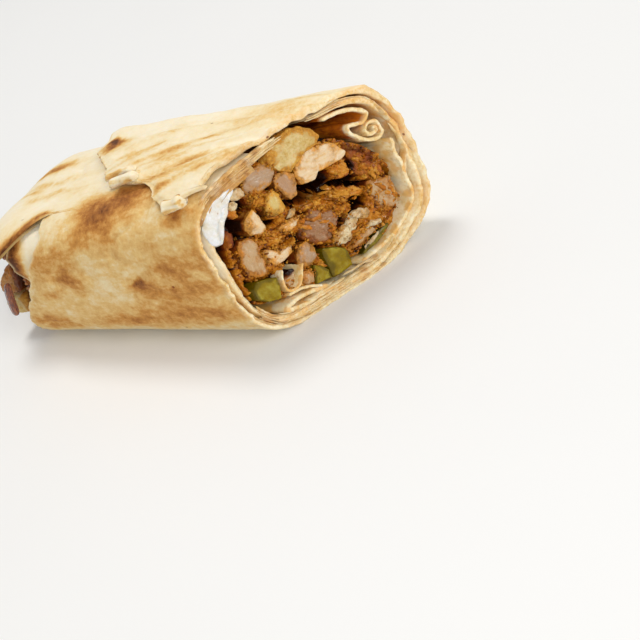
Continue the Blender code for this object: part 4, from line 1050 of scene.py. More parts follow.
# folds and thin ribbons of bread at the cut: name, steps along the path, x where it starts,
# thickness, how far it stands forward of the cut, seed, and the corners of its path as (p, q)
FOLDS = [
    ("inner_fold", 220, 14.0, 1.12, -0.2, 200, [
        (14.6, 24.4), (19.0, 23.0), (22.2, 20.7), (24.2, 17.8), (24.2, 15.2), (22.2, 13.9), (20.0, 14.8),
        (18.2, 15.4), (18.0, 13.2), (20.0, 9.9), (22.4, 7.4), (24.9, 6.9), (26.3, 8.9), (25.6, 11.6),
        (23.7, 12.6), (21.9, 11.3), (22.5, 9.4), (24.2, 9.1), (24.7, 10.3), (23.8, 11.0)]),
    ("side_fold", 140, 14.0, 1.6, 0.5, 210, [
        (27.4, 5.4), (25.8, 3.0), (25.2, 0.0), (25.4, -3.0), (24.9, -7.0), (24.3, -11.0), (23.7, -15.0),
        (20.5, -19.2), (14.0, -21.9), (8.0, -22.6), (2.0, -22.5)]),
    ("bottom_fold", 110, 14.0, 1.4, 0.4, 220, [
        (-5.2, -22.7), (-12.0, -22.6), (-18.0, -21.4), (-20.8, -19.6), (-17.4, -18.6), (-12.6, -19.9),
        (-8.4, -21.3)]),
]
RIBBONS = [
    ("curled_ribbon", 90, 98.0, 0.9, 0.3, 230, [
        (-16.4, -7.8), (-17.5, -10.6), (-18.0, -13.6), (-16.8, -15.7), (-14.6, -15.4), (-12.6, -12.9),
        (-10.9, -10.2)]),
    ("flat_ribbon", 70, 98.0, 0.8, 0.4, 240, [
        (-18.6, -16.2), (-15.8, -16.5), (-13.2, -17.7), (-11.2, -19.3), (-9.8, -20.6)]),
]


def smooth_path(corners, count):
    """Path of count points through the corners, by Catmull-Rom curves."""
    c = np.asarray(corners, float)
    c = np.vstack([2 * c[0] - c[1], c, 2 * c[-1] - c[-2]])
    s = np.linspace(0.0, len(c) - 3 - 1e-6, count)
    i = s.astype(int)
    t = (s - i)[:, None]
    a, b, d, e = c[i], c[i + 1], c[i + 2], c[i + 3]
    return 0.5 * (2 * b + (d - a) * t + (2 * a - 5 * b + 4 * d - e) * t ** 2
                  + (3 * b - a - 3 * d + e) * t ** 3)


def folded_strip(name, count, start, thick, forward, seed, corners, finish, node=None):
    """A strip of bread whose section follows a path, run along the roll to the cut.

    Its thickness swells and thins and its path shivers by smooth random fields, and its cut
    edge is ragged. It takes the place of the solid of its name, or lies beside a node.
    """
    path = smooth_path(corners, count)
    degrees = np.degrees(np.arctan2(path[:, 1], path[:, 0]))
    room = np.min([wall(degrees, x) for x in (20.0, 50.0, 80.0, 110.0)], axis=0) - 0.5 * thick
    path = path * np.minimum(1.0, room / np.linalg.norm(path, axis=1))[:, None]
    tangent = unit(np.gradient(path, axis=0))
    normal = np.stack([-tangent[:, 1], tangent[:, 0]], axis=1)[:, None, :]
    run = np.concatenate([[0.0], np.cumsum(np.linalg.norm(np.diff(path, axis=0), axis=1))])
    share = 1.0 - (1.0 - np.linspace(0.0, 1.0, 40)) ** 1.8
    end = bulge(np.minimum(run, run[-1] - run) / (0.6 * thick), 0.02)[:, None]
    x = start + (cut_x(path[:, 0], path[:, 1])[:, None] + forward - start) * share
    loops = []
    for side in (1.0, -1.0):
        spot = np.stack([x, np.broadcast_to(run[:, None], x.shape), 0 * x + 3.0 * side], axis=-1)
        plump = thick / 2 * end * (1.0 + 0.35 * cloudy(spot, 3.0, seed, 3))
        move = 0.30 * cloudy(spot * (1.0, 1.0, 0.0), 5.0, seed + 9, 2)
        move = move + 0.30 * np.abs(cloudy(spot * (0.6, 1.4, 0.0), 4.0, seed + 14, 3))
        flat = path[:, None, :] + normal * (side * plump + move)[..., None]
        jag = 0.35 * cloudy(spot * (0.0, 1.0, 0.0), 2.0, seed + 4, 3)
        loops.append(np.concatenate([(x + jag * share ** 4)[..., None], flat], axis=-1))
    points, faces = slab(*loops)
    x, p, q = points.T
    behind = cut_x(p, q) + forward - x
    browned, oily, stained = (cloudy(points, 4.0, seed + step, 3) for step in (20, 30, 40))
    # darker gold further behind the cut: partly stain, partly painted shade
    gold = 0.12 + 0.50 * ease(behind, 3.0, 14.0) + 0.4 * ease(stained, 0.0, 0.6)
    # the strip's inner colour and its pocket carry painted shade behind the cut as well as stain
    fields = bread_look(
        points, toast=0.10 + 0.25 * ease(browned, -0.1, 0.6), oil=1.25 * ease(oily, -0.12, 0.45),
        crumb=bell(behind, 3.5) * 0.9, damp=np.minimum(gold * ease(behind, 0.2, 1.2), 0.9),
        pocket=ease(behind, 0.2, 1.5) * ease(np.degrees(np.arctan2(q, p)), 25.0, 33.0))
    return sculpted(name + "_bread", points, faces, finish, fields, () if node else [name])


# ---------------------------------------------------------------- sauce and filling


def room_walls():
    """The walls of the filling's room in the section: outward normals, and distances from the middle."""
    edge = np.roll(ROOM, -1, axis=0) - ROOM
    normal = unit(np.stack([-edge[:, 1], edge[:, 0]], axis=1))
    normal *= np.sign(np.einsum("ij,ij->i", normal, ROOM))[:, None]
    return normal, np.einsum("ij,ij->i", normal, ROOM)


def room_radius(angle, inset):
    """Radius of the filling's room at an angle, each wall moved in by inset."""
    normal, distance = room_walls()
    facing = np.cos(angle)[..., None] * normal[:, 0] + np.sin(angle)[..., None] * normal[:, 1]
    return reach_to(distance - inset, facing).min(axis=-1)


def room_planes():
    """The walls of the filling's room as planes along the roll."""
    return [(np.array([0.0, *normal]), distance) for normal, distance in zip(*room_walls())]


def sauce(finish):
    """Band of sauce between the bread and the filling, plump and lumpy at the cut.

    Its outer side follows the bread and its inner side the filling, and its front swells as
    half an ellipse between them with lumps from a smooth random field.
    """
    start, lower, upper = 16.0, 124.0, 166.0
    degrees = np.linspace(lower, upper, 110)
    angle = np.radians(degrees)
    share = 1.0 - (1.0 - np.linspace(0.0, 1.0, 46)) ** 2.0
    inside = room_radius(angle, 0.0)
    taper = np.minimum((degrees - lower) / 9.0, (upper - degrees) / 24.0)
    drawn_back = 16.0 * (1.0 - ease(upper - degrees, 0.0, 9.0)) + 2.0 * (1.0 - ease(taper, 0.0, 1.0))
    right = cut_x(inside * np.cos(angle), inside * np.sin(angle)) - 1.6 - drawn_back
    x = start + (right[:, None] - start) * share
    taper = bulge(taper, 0.01)[:, None]
    outside = wall(degrees[:, None], x) + 0.45
    bank = on_section(0.0 * x, 30.0 + 0.0 * x, degrees[:, None] + 0.0 * x)
    inside = inside[:, None] + (0.5 + 1.5 * cloudy(bank, 7.0, 145, 3)) * ease(x, 70.0, 90.0)
    outside = np.maximum(outside, inside + 0.5)
    middle, half = (outside + inside) / 2, (outside - inside) / 2 * taper
    rim = 11
    turn = np.linspace(0.0, np.pi, rim + 2)[1:-1]
    front = on_section(x[:, -1:] + (1.4 + 0.9 * taper) * np.sin(turn), middle[:, -1:]
                       + half[:, -1:] * np.cos(turn), degrees[:, None] + 0.0 * turn)
    outer, inner = (on_section(x, middle + s * half, degrees[:, None] + 0 * x) for s in (1, -1))
    loops = np.concatenate([outer, front, inner[:, ::-1]], axis=1)
    lumps = cloudy(loops, 6.0, 140, 2)[..., None] * 1.9 + cloudy(loops, 2.4, 150, 2)[..., None] * 0.55
    loops = loops + lumps * CUT_N * ease(loops[..., :1], 60.0, 84.0)
    points, faces = capped_rings(loops)
    return sculpted("garlic_sauce_band", points, faces, finish, None, ["garlic_sauce"])


def smear(finish):
    """Sauce smeared outwards over the cut edge of the bread: a lumpy flat roll along its arc.

    At each step round, a flattened ellipse lies across the edge; its reach swells at the corner.
    """
    rows, sides = 90, 26
    degrees = np.linspace(124.0, 157.0, rows)[:, None]
    a = circle(sides)
    taper = bulge(1.0 - np.abs(np.linspace(-1.0, 1.0, rows)) ** 3, 0.01)[:, None]
    around = on_section(0.0 * degrees, 30.0 + 0.0 * degrees, degrees)
    broad = (1.5 + 0.8 * bell(degrees - 139.0, 10.0) + 1.3 * cloudy(around, 4.0, 441, 3)) * taper
    middle = wall(degrees, 100.0) + 0.5 + 0.6 * bell(degrees - 139.0, 10.0)
    r = middle + broad * np.cos(a)
    flat = on_section(0.0 * r, r, degrees + 0.0 * r)
    height = 0.15 + 0.85 * taper * np.sin(a)
    height = height + 0.7 * cloudy(flat, 3.2, 447, 2) * ease(np.sin(a), -0.2, 0.6) * taper
    flat[..., 0] = cut_x(flat[..., 1], flat[..., 2]) + height / CUT_N[0]
    points, faces = capped_rings(flat)
    return sculpted("sauce_smear", points, faces, finish, None, ())


def core(finish):
    """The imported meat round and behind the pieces, as rings from the left end to the cut.

    Along its sides it fills its room; at the cut its front lies up to about 4 mm back, crumbled
    by ridged random fields, and pressed further back in the hollows.
    """
    sides = 220
    angle = circle(sides)
    left, side, front = 30, 50, 76
    share = np.concatenate([np.zeros(left), np.linspace(0.0, 1.0, side), np.ones(front)])
    scale = np.concatenate([np.linspace(0.03, 0.98, left), np.ones(side), np.linspace(0.995, 0.02, front)])
    a, s = np.meshgrid(angle, share, indexing="xy")
    r = room_radius(a, GAP) * scale[:, None] - 0.1
    p, q = r * np.cos(a), r * np.sin(a)
    rough = np.stack([0.0 * p, p, q], axis=-1)
    ridged = np.abs(cloudy(rough, 4.0, 160, 4, 0.6))
    fine = cloudy(rough, 1.6, 165, 4, 0.6)
    back = (1.1 + 5.0 * ridged + 2.2 * fine) / CUT_N[0]
    right = cut_x(p, q) - back
    x = START_OF_FILLING + (right - START_OF_FILLING) * s
    x = x + np.where(s < 0.01, 5.0 * ridged + 1.2 * fine, 0.0)
    rings = np.stack([x, p, q], axis=-1)
    points, faces = capped_rings(rings)
    points, deep = sunk(points)
    zero = np.zeros(len(points))
    # painted shade: darker with depth behind the cut, in the crevices of the crumbled front and in the
    # hollows
    crevice = 0.95 * ease(np.concatenate([(fine + 1.6 * ridged).ravel(), [0.0, 0.0]]), 0.12, 0.72)
    dark = np.max([deep * 1.25 - 0.15, crevice, hidden_in(points)], axis=0)
    # painted shade in the open left end, darker in the ridges
    open_end = np.concatenate([(0.10 + 1.6 * ridged).ravel(), [0.3, 0.3]])
    fields = {"cut": zero, "edge": zero, "deep": np.where(points[:, 0] < 14.0, open_end, dark),
              "grain": points}
    return sculpted("packed_meat", points, faces, finish, fields, ["chicken_filling"])


def frame_of(turn, u, v, n):
    """Axes of a piece: its long side turned from u towards v, its depth along n."""
    t = np.radians(turn)
    return np.stack([np.cos(t) * u + np.sin(t) * v, np.cos(t) * v - np.sin(t) * u, n])


def divider(one, two):
    """Plane between two pieces, sharing the space by their sizes: normal and offset."""
    (c1, f1, h1), (c2, f2, h2) = one, two
    m1 = (f1.T * h1 ** 2) @ f1
    m2 = (f2.T * h2 ** 2) @ f2
    normal = np.linalg.solve(m1 + m2, c2 - c1)
    normal /= np.linalg.norm(normal)
    s1, s2 = np.sqrt(normal @ m1 @ normal), np.sqrt(normal @ m2 @ normal)
    return normal, normal @ c1 + (normal @ (c2 - c1)) * s1 / (s1 + s2)


def soft_least(values, crisp):
    """The least of several lengths, its corners rounded: their power mean at minus crisp."""
    values = np.stack(values, axis=-1)
    least = values.min(axis=-1, keepdims=True)
    return least[..., 0] * ((least / values) ** crisp).sum(axis=-1) ** (-1.0 / crisp)


def chunk(centre, axes, half, blunt, rough, planes, seed, chips, front, shreds):
    """A blunt ellipsoid worn down by planes, chips and waves, as rings about its depth axis.

    In each direction the reach is a soft least of the ellipsoid's and the distances to the
    planes, less a share of smooth waves and of a fibrous random field drawn out along the
    piece; the plane numbered front is the cut, and keeps flat. Returns points, faces, fields.
    """
    rings, sides = 44, 76
    rise = np.linspace(0.0, np.pi, rings + 2)
    r, a = np.meshgrid(rise, circle(sides), indexing="ij")
    local = np.stack([np.sin(r) * np.cos(a), np.sin(r) * np.sin(a), -np.cos(r)], axis=-1)
    reach = (np.abs(local / half) ** blunt).sum(axis=-1) ** (-1.0 / blunt)
    world = local @ axes
    normals = np.array([n for n, _ in planes])
    offsets = np.array([o for _, o in planes]) - normals @ centre
    facing = world @ normals.T
    limit = reach_to(offsets, facing)
    waves = np.random.default_rng(seed)
    chipped = []
    for _ in range(chips):
        normal = unit(waves.normal(size=3) * (1.0, 1.0, 0.4))
        far = np.sqrt(((normal * half) ** 2).sum()) * waves.uniform(0.72, 0.92)
        chipped.append(reach_to(far, local @ normal))
    flat = limit[..., front]
    sides_of = np.delete(limit, front, axis=-1)
    reach = soft_least([reach, *np.moveaxis(sides_of, -1, 0), *chipped], 14.0)
    shares = 1.0 / (1.0 + np.minimum(flat / reach, 9.0) ** 40.0)
    reach = soft_least([reach, flat], 40.0)
    turn = waves.normal(size=(5, 3)) * 2.4
    shift = waves.uniform(0, 2 * np.pi, 5)
    bumps = 0.5 + 0.5 * np.sin(world @ turn.T + shift).mean(axis=-1)
    reach = reach * (1.0 - rough * bumps * (1.0 - 0.6 * shares))
    flesh = (reach[..., None] * local) * (0.45, 1.0, 1.0)
    fibre = 0.5 + 0.5 * cloudy(flesh + seed, 2.2, seed, 4, 0.6)
    ridged = np.abs(cloudy(flesh + seed, 2.8, seed + 7, 3, 0.6))
    worn = shreds * (0.6 * fibre + 1.1 * ridged) * (1.0 - 0.62 * shares)
    reach = reach * (1.0 - np.minimum(worn, 0.45))
    points = centre + reach[..., None] * world
    body, faces = capped_rings(points[1:-1], points[0, 0], points[-1, 0])
    grain = reach[..., None] * local + seed * 3.7
    edge = np.clip(4.0 * shares * (1.0 - shares), 0.0, 1.0)
    fields = {"cut": shares, "edge": edge, "grain": grain}
    return body, faces, {key: capped_field(field, slice(1, -1)) for key, field in fields.items()}


def in_hollow(points, hollow, wider=0.0, wobble=(0.0, 0.0)):
    """How far inside a hollow's leaning ellipse each point is: 1 in its middle, 0 well outside."""
    at_p, at_q, wide, high, lean, _ = hollow
    u, v = turned_by(-lean, points[:, 1] - at_p + wobble[0], points[:, 2] - at_q + wobble[1])
    return np.exp(-((u / (wide + wider)) ** 2 + (v / (high + wider)) ** 2) ** 1.6)


def sunk(points):
    """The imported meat's front pressed back into the hollows, and how deep each point lies."""
    behind = behind_cut(points)
    near = ease(behind, 7.0, 2.0)
    wobble = [0.8 * cloudy(points * (0.0, 1.0, 1.0), 2.2, seed, 3) for seed in (170, 175)]
    drop = np.max([row[-1] * in_hollow(points, row, wobble=wobble) for row in HOLLOWS], axis=0)
    return points - CUT_N * (drop * near)[:, None], np.clip((behind + drop * near - 0.8) / 6.5, 0.0, 1.0)


def hidden_in(points):
    """How dark each point is: painted shade 1 to 3 mm behind the cut in a hollow, and a browned band in the
    roast corner.
    """
    dark = np.max([in_hollow(points, row, 0.5) * min(1.0, row[-1] / 6.0) for row in HOLLOWS], axis=0)
    along, across = np.array([0.46, -0.888]), np.array([0.888, 0.46])
    at = points[:, 1:] - (18.2, 6.4)
    near = bell(at @ along, 9.0) * bell(at @ across, 2.2)
    # the roast corner's browned band, which darkens through the same field as the painted shade
    glazed = near * ease(cloudy(points * (0.3, 1.0, 1.0), 2.6, 181, 3), -0.5, 0.25)
    return np.maximum(dark * ease(behind_cut(points), 0.3, 2.4), 0.62 * glazed)


def radius_of(corners, middle, angle):
    """Radius of an outline seen from its middle: the nearest side met at each angle, softened."""
    a = np.asarray(corners, float) - middle
    side = np.roll(a, -1, axis=0) - a
    fine = circle(180)
    d = np.stack([np.cos(fine), np.sin(fine)], axis=-1)[:, None, :]
    across = d[..., 0] * side[:, 1] - d[..., 1] * side[:, 0]
    across = np.where(np.abs(across) < 1e-9, 1e-9, across)
    reach = (a[:, 0] * side[:, 1] - a[:, 1] * side[:, 0]) / across
    share = (a[:, 0] * d[..., 1] - a[:, 1] * d[..., 0]) / across
    met = (reach > 0) & (share >= -1e-6) & (share <= 1.0 + 1e-6)
    r = np.where(met, reach, 1e9).min(axis=1)
    for _ in range(2):
        r = 0.25 * np.roll(r, 1) + 0.5 * r + 0.25 * np.roll(r, -1)
    return np.interp(angle, np.append(fine, 2 * np.pi), np.append(r, r[0]))


def middle_of(corners):
    """Centre of area of an outline."""
    a = np.asarray(corners, float)
    b = np.roll(a, -1, axis=0)
    cross = a[:, 0] * b[:, 1] - a[:, 1] * b[:, 0]
    return ((a + b) * cross[:, None]).sum(axis=0) / (3.0 * cross.sum())


# how craggy a finish's front is, how ragged its outline, and how round its rim, in mm
TEXTURE = {
    "pale_meat": (0.36, 0.30, 0.55), "pink_meat": (0.34, 0.26, 0.50), "grey_meat": (0.40, 0.32, 0.55),
    "ribbed_meat": (0.34, 0.28, 0.50), "brown_meat": (0.90, 0.60, 0.60),
    "tan_meat": (0.85, 0.60, 0.60), "roast_meat": (1.20, 0.60, 0.60), "gold_meat": (1.20, 0.70, 0.60),
    "fat": (0.30, 0.28, 0.60), "cream": (0.85, 0.55, 0.60), "potato": (0.42, 0.50, 0.40),
    "pickle": (0.10, 0.06, 0.45), "dark_pickle": (0.10, 0.08, 0.40),
}


def trimmed(name, corners, middle, angle, way):
    """Radius of a piece's outline seen from its middle, kept inside the walls of the room."""
    r = radius_of(corners, middle, angle) + 0.12
    if name != "potato_01":
        for normal, distance in zip(*room_walls()):
            r = np.minimum(r, reach_to(distance - 0.2 - middle @ normal, way @ normal))
    return np.maximum(r, 0.6)


def piece_rings(r, rim):
    """Rings of a piece, front to back: share of its outline, depth behind the front, turn over the rim.

    They cover the front, go over the rim by a quarter circle, back along the side and close it.
    """
    front = np.linspace(0.05, 1.0, 24)[:, None] ** 0.85
    over = np.radians(np.linspace(12.0, 90.0, 7))[:, None]
    behind = np.linspace(0.0, 1.0, 22)[1:, None] ** 1.3
    closing = np.linspace(0.9, 0.1, 5)[:, None] + 0.0 * r
    share = np.concatenate([front * (1.0 - rim / r), 1.0 - rim / r * (1 - np.sin(over)),
                            1 - 0.08 * behind + 0.0 * r, 0.92 * closing])
    back = np.concatenate([0.0 * front, rim.mean() * (1 - np.cos(over)),
                           rim.mean() + (PIECE_DEPTH - rim.mean()) * behind,
                           PIECE_DEPTH + 0.0 * closing[:, :1]])
    turn = np.concatenate([0.0 * front, over, np.full((len(behind) + len(closing), 1), np.pi / 2)])
    return share, back, turn


def cut_pieces(finishes):
    """The pieces at the cut: each runs back from its outline, a little smaller behind.

    The front of a piece leans and falls off to its rim; ragged and craggy random fields move
    the rim outwards and in, and the front forwards and back.
    """
    angle = circle(128)
    way = np.stack([np.cos(angle), np.sin(angle)], axis=1)
    for i, (name, forward, fall, kind, corners) in enumerate(CUT_PIECES):
        craggy, ragged, rim = TEXTURE[kind]
        middle = middle_of(corners)
        r = trimmed(name, corners, middle, angle, way)
        share, back, turn = piece_rings(r, np.minimum(rim, 0.4 * r))
        flat = middle + (r * share)[..., None] * way
        lean = np.random.default_rng(300 + i).uniform(-0.07, 0.07, 2)
        height = forward + (flat - middle) @ lean - fall * share ** 2 - back
        height = np.where(back > PIECE_DEPTH - 0.1, -PIECE_DEPTH - 0.1, height)
        surface = at_cut(flat[..., 0], flat[..., 1], height)
        spot = surface + 17.0 * i
        rough = cloudy(spot, 2.4, 200 + i, 4, 0.62)
        crag = np.abs(cloudy(spot, 3.2, 240 + i, 4, 0.6)) - 0.16
        up = craggy * (1.5 * rough - 1.6 * crag) * np.cos(turn) * ease(share, -0.2, 0.3)
        out = ragged * (1.6 * rough - 0.35) * np.sin(turn) * (1.0 - ease(back, 6.5, 8.5))
        surface[..., 0] += np.minimum(up, 0.5) / CUT_N[0]
        surface[..., 1:] += out[..., None] * way
        long = np.linalg.eigh(np.cov(np.array(corners).T))[1][:, 1]
        along, across = (flat - middle) @ long, (flat - middle) @ (-long[1], long[0])
        inward = (1.0 - share) * r * np.cos(turn)
        stained = 0.45 + 2.1 * ease(cloudy(spot, 3.4, 280 + i, 2), -0.45, 0.6)
        points, faces = capped_rings(surface)
        # deep is painted shade: darker as the side runs back from the cut, and in hollows
        fields = {"cut": np.cos(turn) + 0.0 * share, "edge": bell(inward, stained),
                  "deep": ease(-height, 1.2, 6.0),
                  "grain": np.stack([along, across, back + 0.0 * along], axis=-1) + 31.0 * i}
        fields = {key: capped_field(field) for key, field in fields.items()}
        fields["deep"] = np.maximum(fields["deep"], hidden_in(points))
        sculpted(name + "_piece", points, faces, finishes[kind], fields, [name])


def end_pieces(finishes):
    """The pieces in the open left end, each trimmed by its neighbours and the walls."""
    shapes = []
    axes_there = np.array([[0.0, -1.0, 0.0], [0.0, 0.0, 1.0], [-1.0, 0.0, 0.0]])
    for _, p, q, wide, high, turn, x, deep, *_ in END_PIECES:
        half = np.array([1.14 * wide, 1.14 * high, deep])
        shapes.append((np.array([x, p, q]), frame_of(turn, *axes_there), half))
    for i, (name, *_, blunt, rough, kind) in enumerate(END_PIECES):
        centre, axes, half = shapes[i]
        planes = [(n, o - 0.2) for n, o in room_planes()]
        for j, other in enumerate(shapes):
            if j != i and np.linalg.norm(other[0] - centre) < other[2].max() + half.max() + 2:
                planes.append(divider(shapes[i], other))
        planes.append((np.array([1.0, 0.0, 0.0]), END_OF_PIECES))
        body, faces, fields = chunk(centre, axes, half, blunt, rough, planes, 100 + i,
                                    5 if rough > 0.08 else 0, len(planes) - 1,
                                    0.10 if kind == "potato" else 0.21)
        # painted shade: darker further into the open end
        fields["deep"] = ease(body[:, 0], -4.0, 4.0)
        fields["cut"] = ease(body[:, 0], -1.0, -5.0)
        if kind != "potato":
            patchy = cloudy(body, 4.0, 140 + i, 3)
            fields["cut"] = fields["cut"] * ease(patchy, -0.9, 0.1)
            fields["edge"] = ease(patchy, 0.5, -0.3)
        sculpted(name + "_piece", body, faces, finishes[kind], fields, [name])


def many(shapes):
    """Points and faces of many bodies made of rings, joined: an array of bodies by rings by sides."""
    count, rings, sides = shapes.shape[:3]
    one = ring_faces(rings, sides)
    step = np.arange(count)[:, None, None] * rings * sides
    body = (one[None] + step).reshape(-1, 4)
    ends = []
    for row, way in ((0, 1), (rings - 1, -1)):
        ring = (np.arange(sides) + row * sides)[None, :] + step[:, :, 0]
        fan = np.stack([np.repeat(ring[:, :1], sides - 2, axis=1), ring[:, 1:-1], ring[:, 2:]], axis=-1)
        ends.append(fan.reshape(-1, 3)[:, ::way])
    return shapes.reshape(-1, 3), [body, *ends]


# where shreds lie at the cut: p, q, half width, half height, lean, how many, forward of the cut
SHRED_BEDS = [
    (9.5, -1.0, 6.5, 2.6, -35, 9, -1.3), (8.0, -6.0, 6.0, 2.2, -35, 8, -1.5),
    (18.6, 2.4, 6.6, 2.0, -62, 14, -1.0), (18.2, -8.0, 5.4, 2.2, -75, 10, -0.4),
    (1.0, 3.2, 4.0, 1.6, -28, 6, -1.2), (-12.4, 1.0, 3.2, 2.0, -40, 6, -1.5),
    (-10.8, 13.2, 1.6, 2.6, 60, 4, -1.4), (5.0, -12.0, 4.0, 2.4, -20, 6, -0.8),
    (-0.8, -4.8, 4.6, 4.2, -40, 8, -0.5), (-14.6, -12.8, 2.2, 1.4, 20, 4, -1.4),
    (-21.0, 9.6, 1.0, 3.0, -18, 4, -0.6), (12.6, 12.4, 3.0, 1.4, -45, 5, -0.8),
]


def shreds(finish):
    """Ragged strips of roast meat lying over the gaps: flat tapering bands along bent paths."""
    rng = np.random.default_rng(41)

    def each(values):
        """Numbers, one for each strip, shaped to go with its rings and sides."""
        return values[:, None, None]

    rings, sides = 14, 8
    s, a = np.linspace(-1.0, 1.0, rings)[None, :, None], circle(sides)
    bodies, tints = [], []
    for p, q, wide, high, lean, count, forward in SHRED_BEDS:
        spread = turned_by(lean, *(rng.normal(0.0, 0.5, (count, 2)) * (wide, high)).T)
        turn = each(lean + np.degrees(rng.normal(0.0, 0.45, count)))
        long = each(rng.uniform(1.0, 3.0, count))
        broad = each(rng.uniform(0.22, 0.62, count))
        curl = each(rng.normal(0.0, 0.35, count)) * long
        arch = each(rng.uniform(0.1, 0.7, count))
        rise = each(rng.normal(0.0, 0.25, count))
        taper = bulge(1.0 - s ** 4, 0.02) * (1.0 + 0.2 * np.sin(5 * s + 9 * rise))
        u = long * s + 0.0 * a
        w = curl * s ** 2 + broad * taper * np.cos(a)
        h = forward + rise * s + arch * (1 - s ** 2) - 0.4 + 0.55 * broad * taper * np.sin(a)
        u, w = turned_by(turn, u, w)
        bodies.append(at_cut(p + each(spread[0]) + u, q + each(spread[1]) + w, h))
        tints.append(np.broadcast_to(each(rng.uniform(0.0, 1.0, count)), u.shape))
    shapes, tint = np.concatenate(bodies), np.concatenate(tints)
    inside = np.hypot(shapes[..., 1], shapes[..., 2])
    limit = room_radius(np.arctan2(shapes[..., 2], shapes[..., 1]), 0.5)
    keep = (inside < limit).all(axis=(1, 2))
    shapes, tint = shapes[keep], tint[keep]
    points, faces = many(jostled(shapes, 0.22, 1.0, (401, 404, 407), 2))
    points, _ = sunk(points)
    # deep is painted shade in the hollows
    fields = {"cut": 0.25 + 0.6 * tint.ravel(), "edge": 1.0 - tint.ravel(), "deep": hidden_in(points),
              "grain": points * (0.4, 1.0, 1.0)}
    return sculpted("meat_shreds", points, faces, finish, fields, ())


def crumbs(finish):
    """Crumbs of seasoning over the cut: small lumpy balls in the gaps and along the pieces' rims."""
    rng = np.random.default_rng(43)
    loose, along = 700, 1000
    at = rng.uniform(-1.0, 1.0, (loose, 2)) * (24.0, 22.0)
    outlines = [np.array(row[4], float) for row in CUT_PIECES if "pickle" not in row[3]]
    sides = np.concatenate([np.stack([c, np.roll(c, -1, axis=0)], axis=1) for c in outlines])
    long = np.linalg.norm(sides[:, 1] - sides[:, 0], axis=1)
    pick = rng.choice(len(sides), along, p=long / long.sum())
    way = rng.uniform(0.0, 1.0, (along, 1))
    rims = sides[pick, 0] * (1.0 - way) + sides[pick, 1] * way + rng.normal(0.0, 0.28, (along, 2))
    at = np.concatenate([at, rims])
    count = loose + along
    size = 0.15 + 0.36 * rng.uniform(0.0, 1.0, count) ** 2.2
    rings, sides = 6, 8
    rise = np.linspace(0.25, np.pi - 0.25, rings)[:, None]
    a = circle(sides)
    ball = np.stack([np.cos(rise) + 0 * a, np.sin(rise) * np.cos(a), np.sin(rise) * np.sin(a)], axis=-1)
    stretch = rng.uniform(0.7, 1.4, (count, 1, 1, 3)) * size[:, None, None, None]
    height = np.concatenate([-0.8 - 1.2 * rng.uniform(0.0, 1.0, loose),
                             -0.05 - 0.9 * rng.uniform(0.0, 1.0, along)])
    centre = at_cut(at[:, 0], at[:, 1], height)
    reach = np.hypot(at[:, 0], at[:, 1])
    keep = reach < room_radius(np.arctan2(at[:, 1], at[:, 0]), 0.8)
    shapes = centre[:, None, None, :] + ball * stretch
    lumps = 0.3 * size[:, None, None, None] * rng.uniform(-1.0, 1.0, shapes.shape)
    shapes = (shapes + lumps)[keep]
    tint = np.broadcast_to(rng.uniform(0.0, 1.0, count)[keep][:, None, None], shapes.shape[:3]).ravel()
    points, faces = many(shapes)
    points, _ = sunk(points)
    # deep is painted shade in the hollows
    fields = {"cut": 0.05 + 0.75 * tint, "edge": 1.0 - 0.8 * tint, "deep": hidden_in(points), "grain": points}
    return sculpted("seasoning_crumbs", points, faces, finish, fields, ())


# dabs of sauce at the cut: p, q, half width, half height, lean, forward of the cut
DABS = [
    (-14.6, 19.6, 2.3, 1.6, -30, -0.5), (-16.8, 17.4, 1.5, 1.2, 40, -0.6), (-5.4, 4.4, 1.5, 0.8, 20, -0.8),
    (9.4, -9.6, 3.0, 1.7, -30, -1.0), (6.4, -10.2, 2.0, 1.5, 50, -1.0), (2.2, -13.0, 2.6, 1.3, -20, -0.6),
    (11.6, -15.0, 2.6, 1.1, -20, -1.0), (8.4, -19.2, 2.6, 0.7, 18, -0.6),
]


def sauce_dabs(finish):
    """Dabs of sauce on the filling: flattened lumpy balls pushed about by random fields."""
    rings, sides = 18, 26
    rise = np.linspace(0.12, np.pi - 0.12, rings)[:, None]
    a = circle(sides)
    table = np.array(DABS)[:, :, None, None]
    p, q, wide, high, lean, forward = (table[:, k] for k in range(6))
    u, w = wide * np.sin(rise) * np.cos(a), high * np.sin(rise) * np.sin(a)
    h = forward + 0.60 * np.minimum(wide, high) * np.cos(rise) + 0.0 * a
    u, w = turned_by(lean, u, w)
    points, faces = many(jostled(at_cut(p + u, q + w, h), 0.95, 1.5, (421, 424, 427), 4))
    edge = 0.5 + 0.5 * cloudy(points, 2.0, 431, 3)
    fields = {"cut": 0.0 * edge + 0.8, "edge": edge, "deep": 0.0 * edge, "grain": points}
    return sculpted("sauce_dabs", points, faces, finish, fields, ())


def onion(finish):
    """Curved strip of red onion hanging at the open end: a ribbed band along a path."""
    path = smooth_path([(1.0, -27.6, 7.0), (-0.8, -28.0, 2.4), (-2.6, -28.3, -3.4),
                        (-4.6, -28.4, -10.2)], 60)
    s = np.linspace(-1.0, 1.0, 60)
    taper = bulge(1.0 - s ** 6, 0.0004)[:, None, None]
    turn = circle(28)
    c, v = np.cos(turn), np.sin(turn)
    ribs = 1.0 + 0.08 * np.cos(7 * turn)
    section = np.stack([2.1 * c * ribs, 0.50 * v * ribs - 0.35 * (1 - c ** 2), 0 * c], axis=-1)
    rings = path[:, None, :] + section * taper
    points, faces = capped_rings(rings)
    grain = np.stack(np.broadcast_arrays(20 * s[:, None], 3 * c, 3 * v), axis=-1).reshape(-1, 3)
    grain = np.concatenate([grain, np.zeros((2, 3))])
    return sculpted("onion_band", points, faces, finish, {"grain": grain}, ["onion_strip"])


# ---------------------------------------------------------------- stage, light and camera


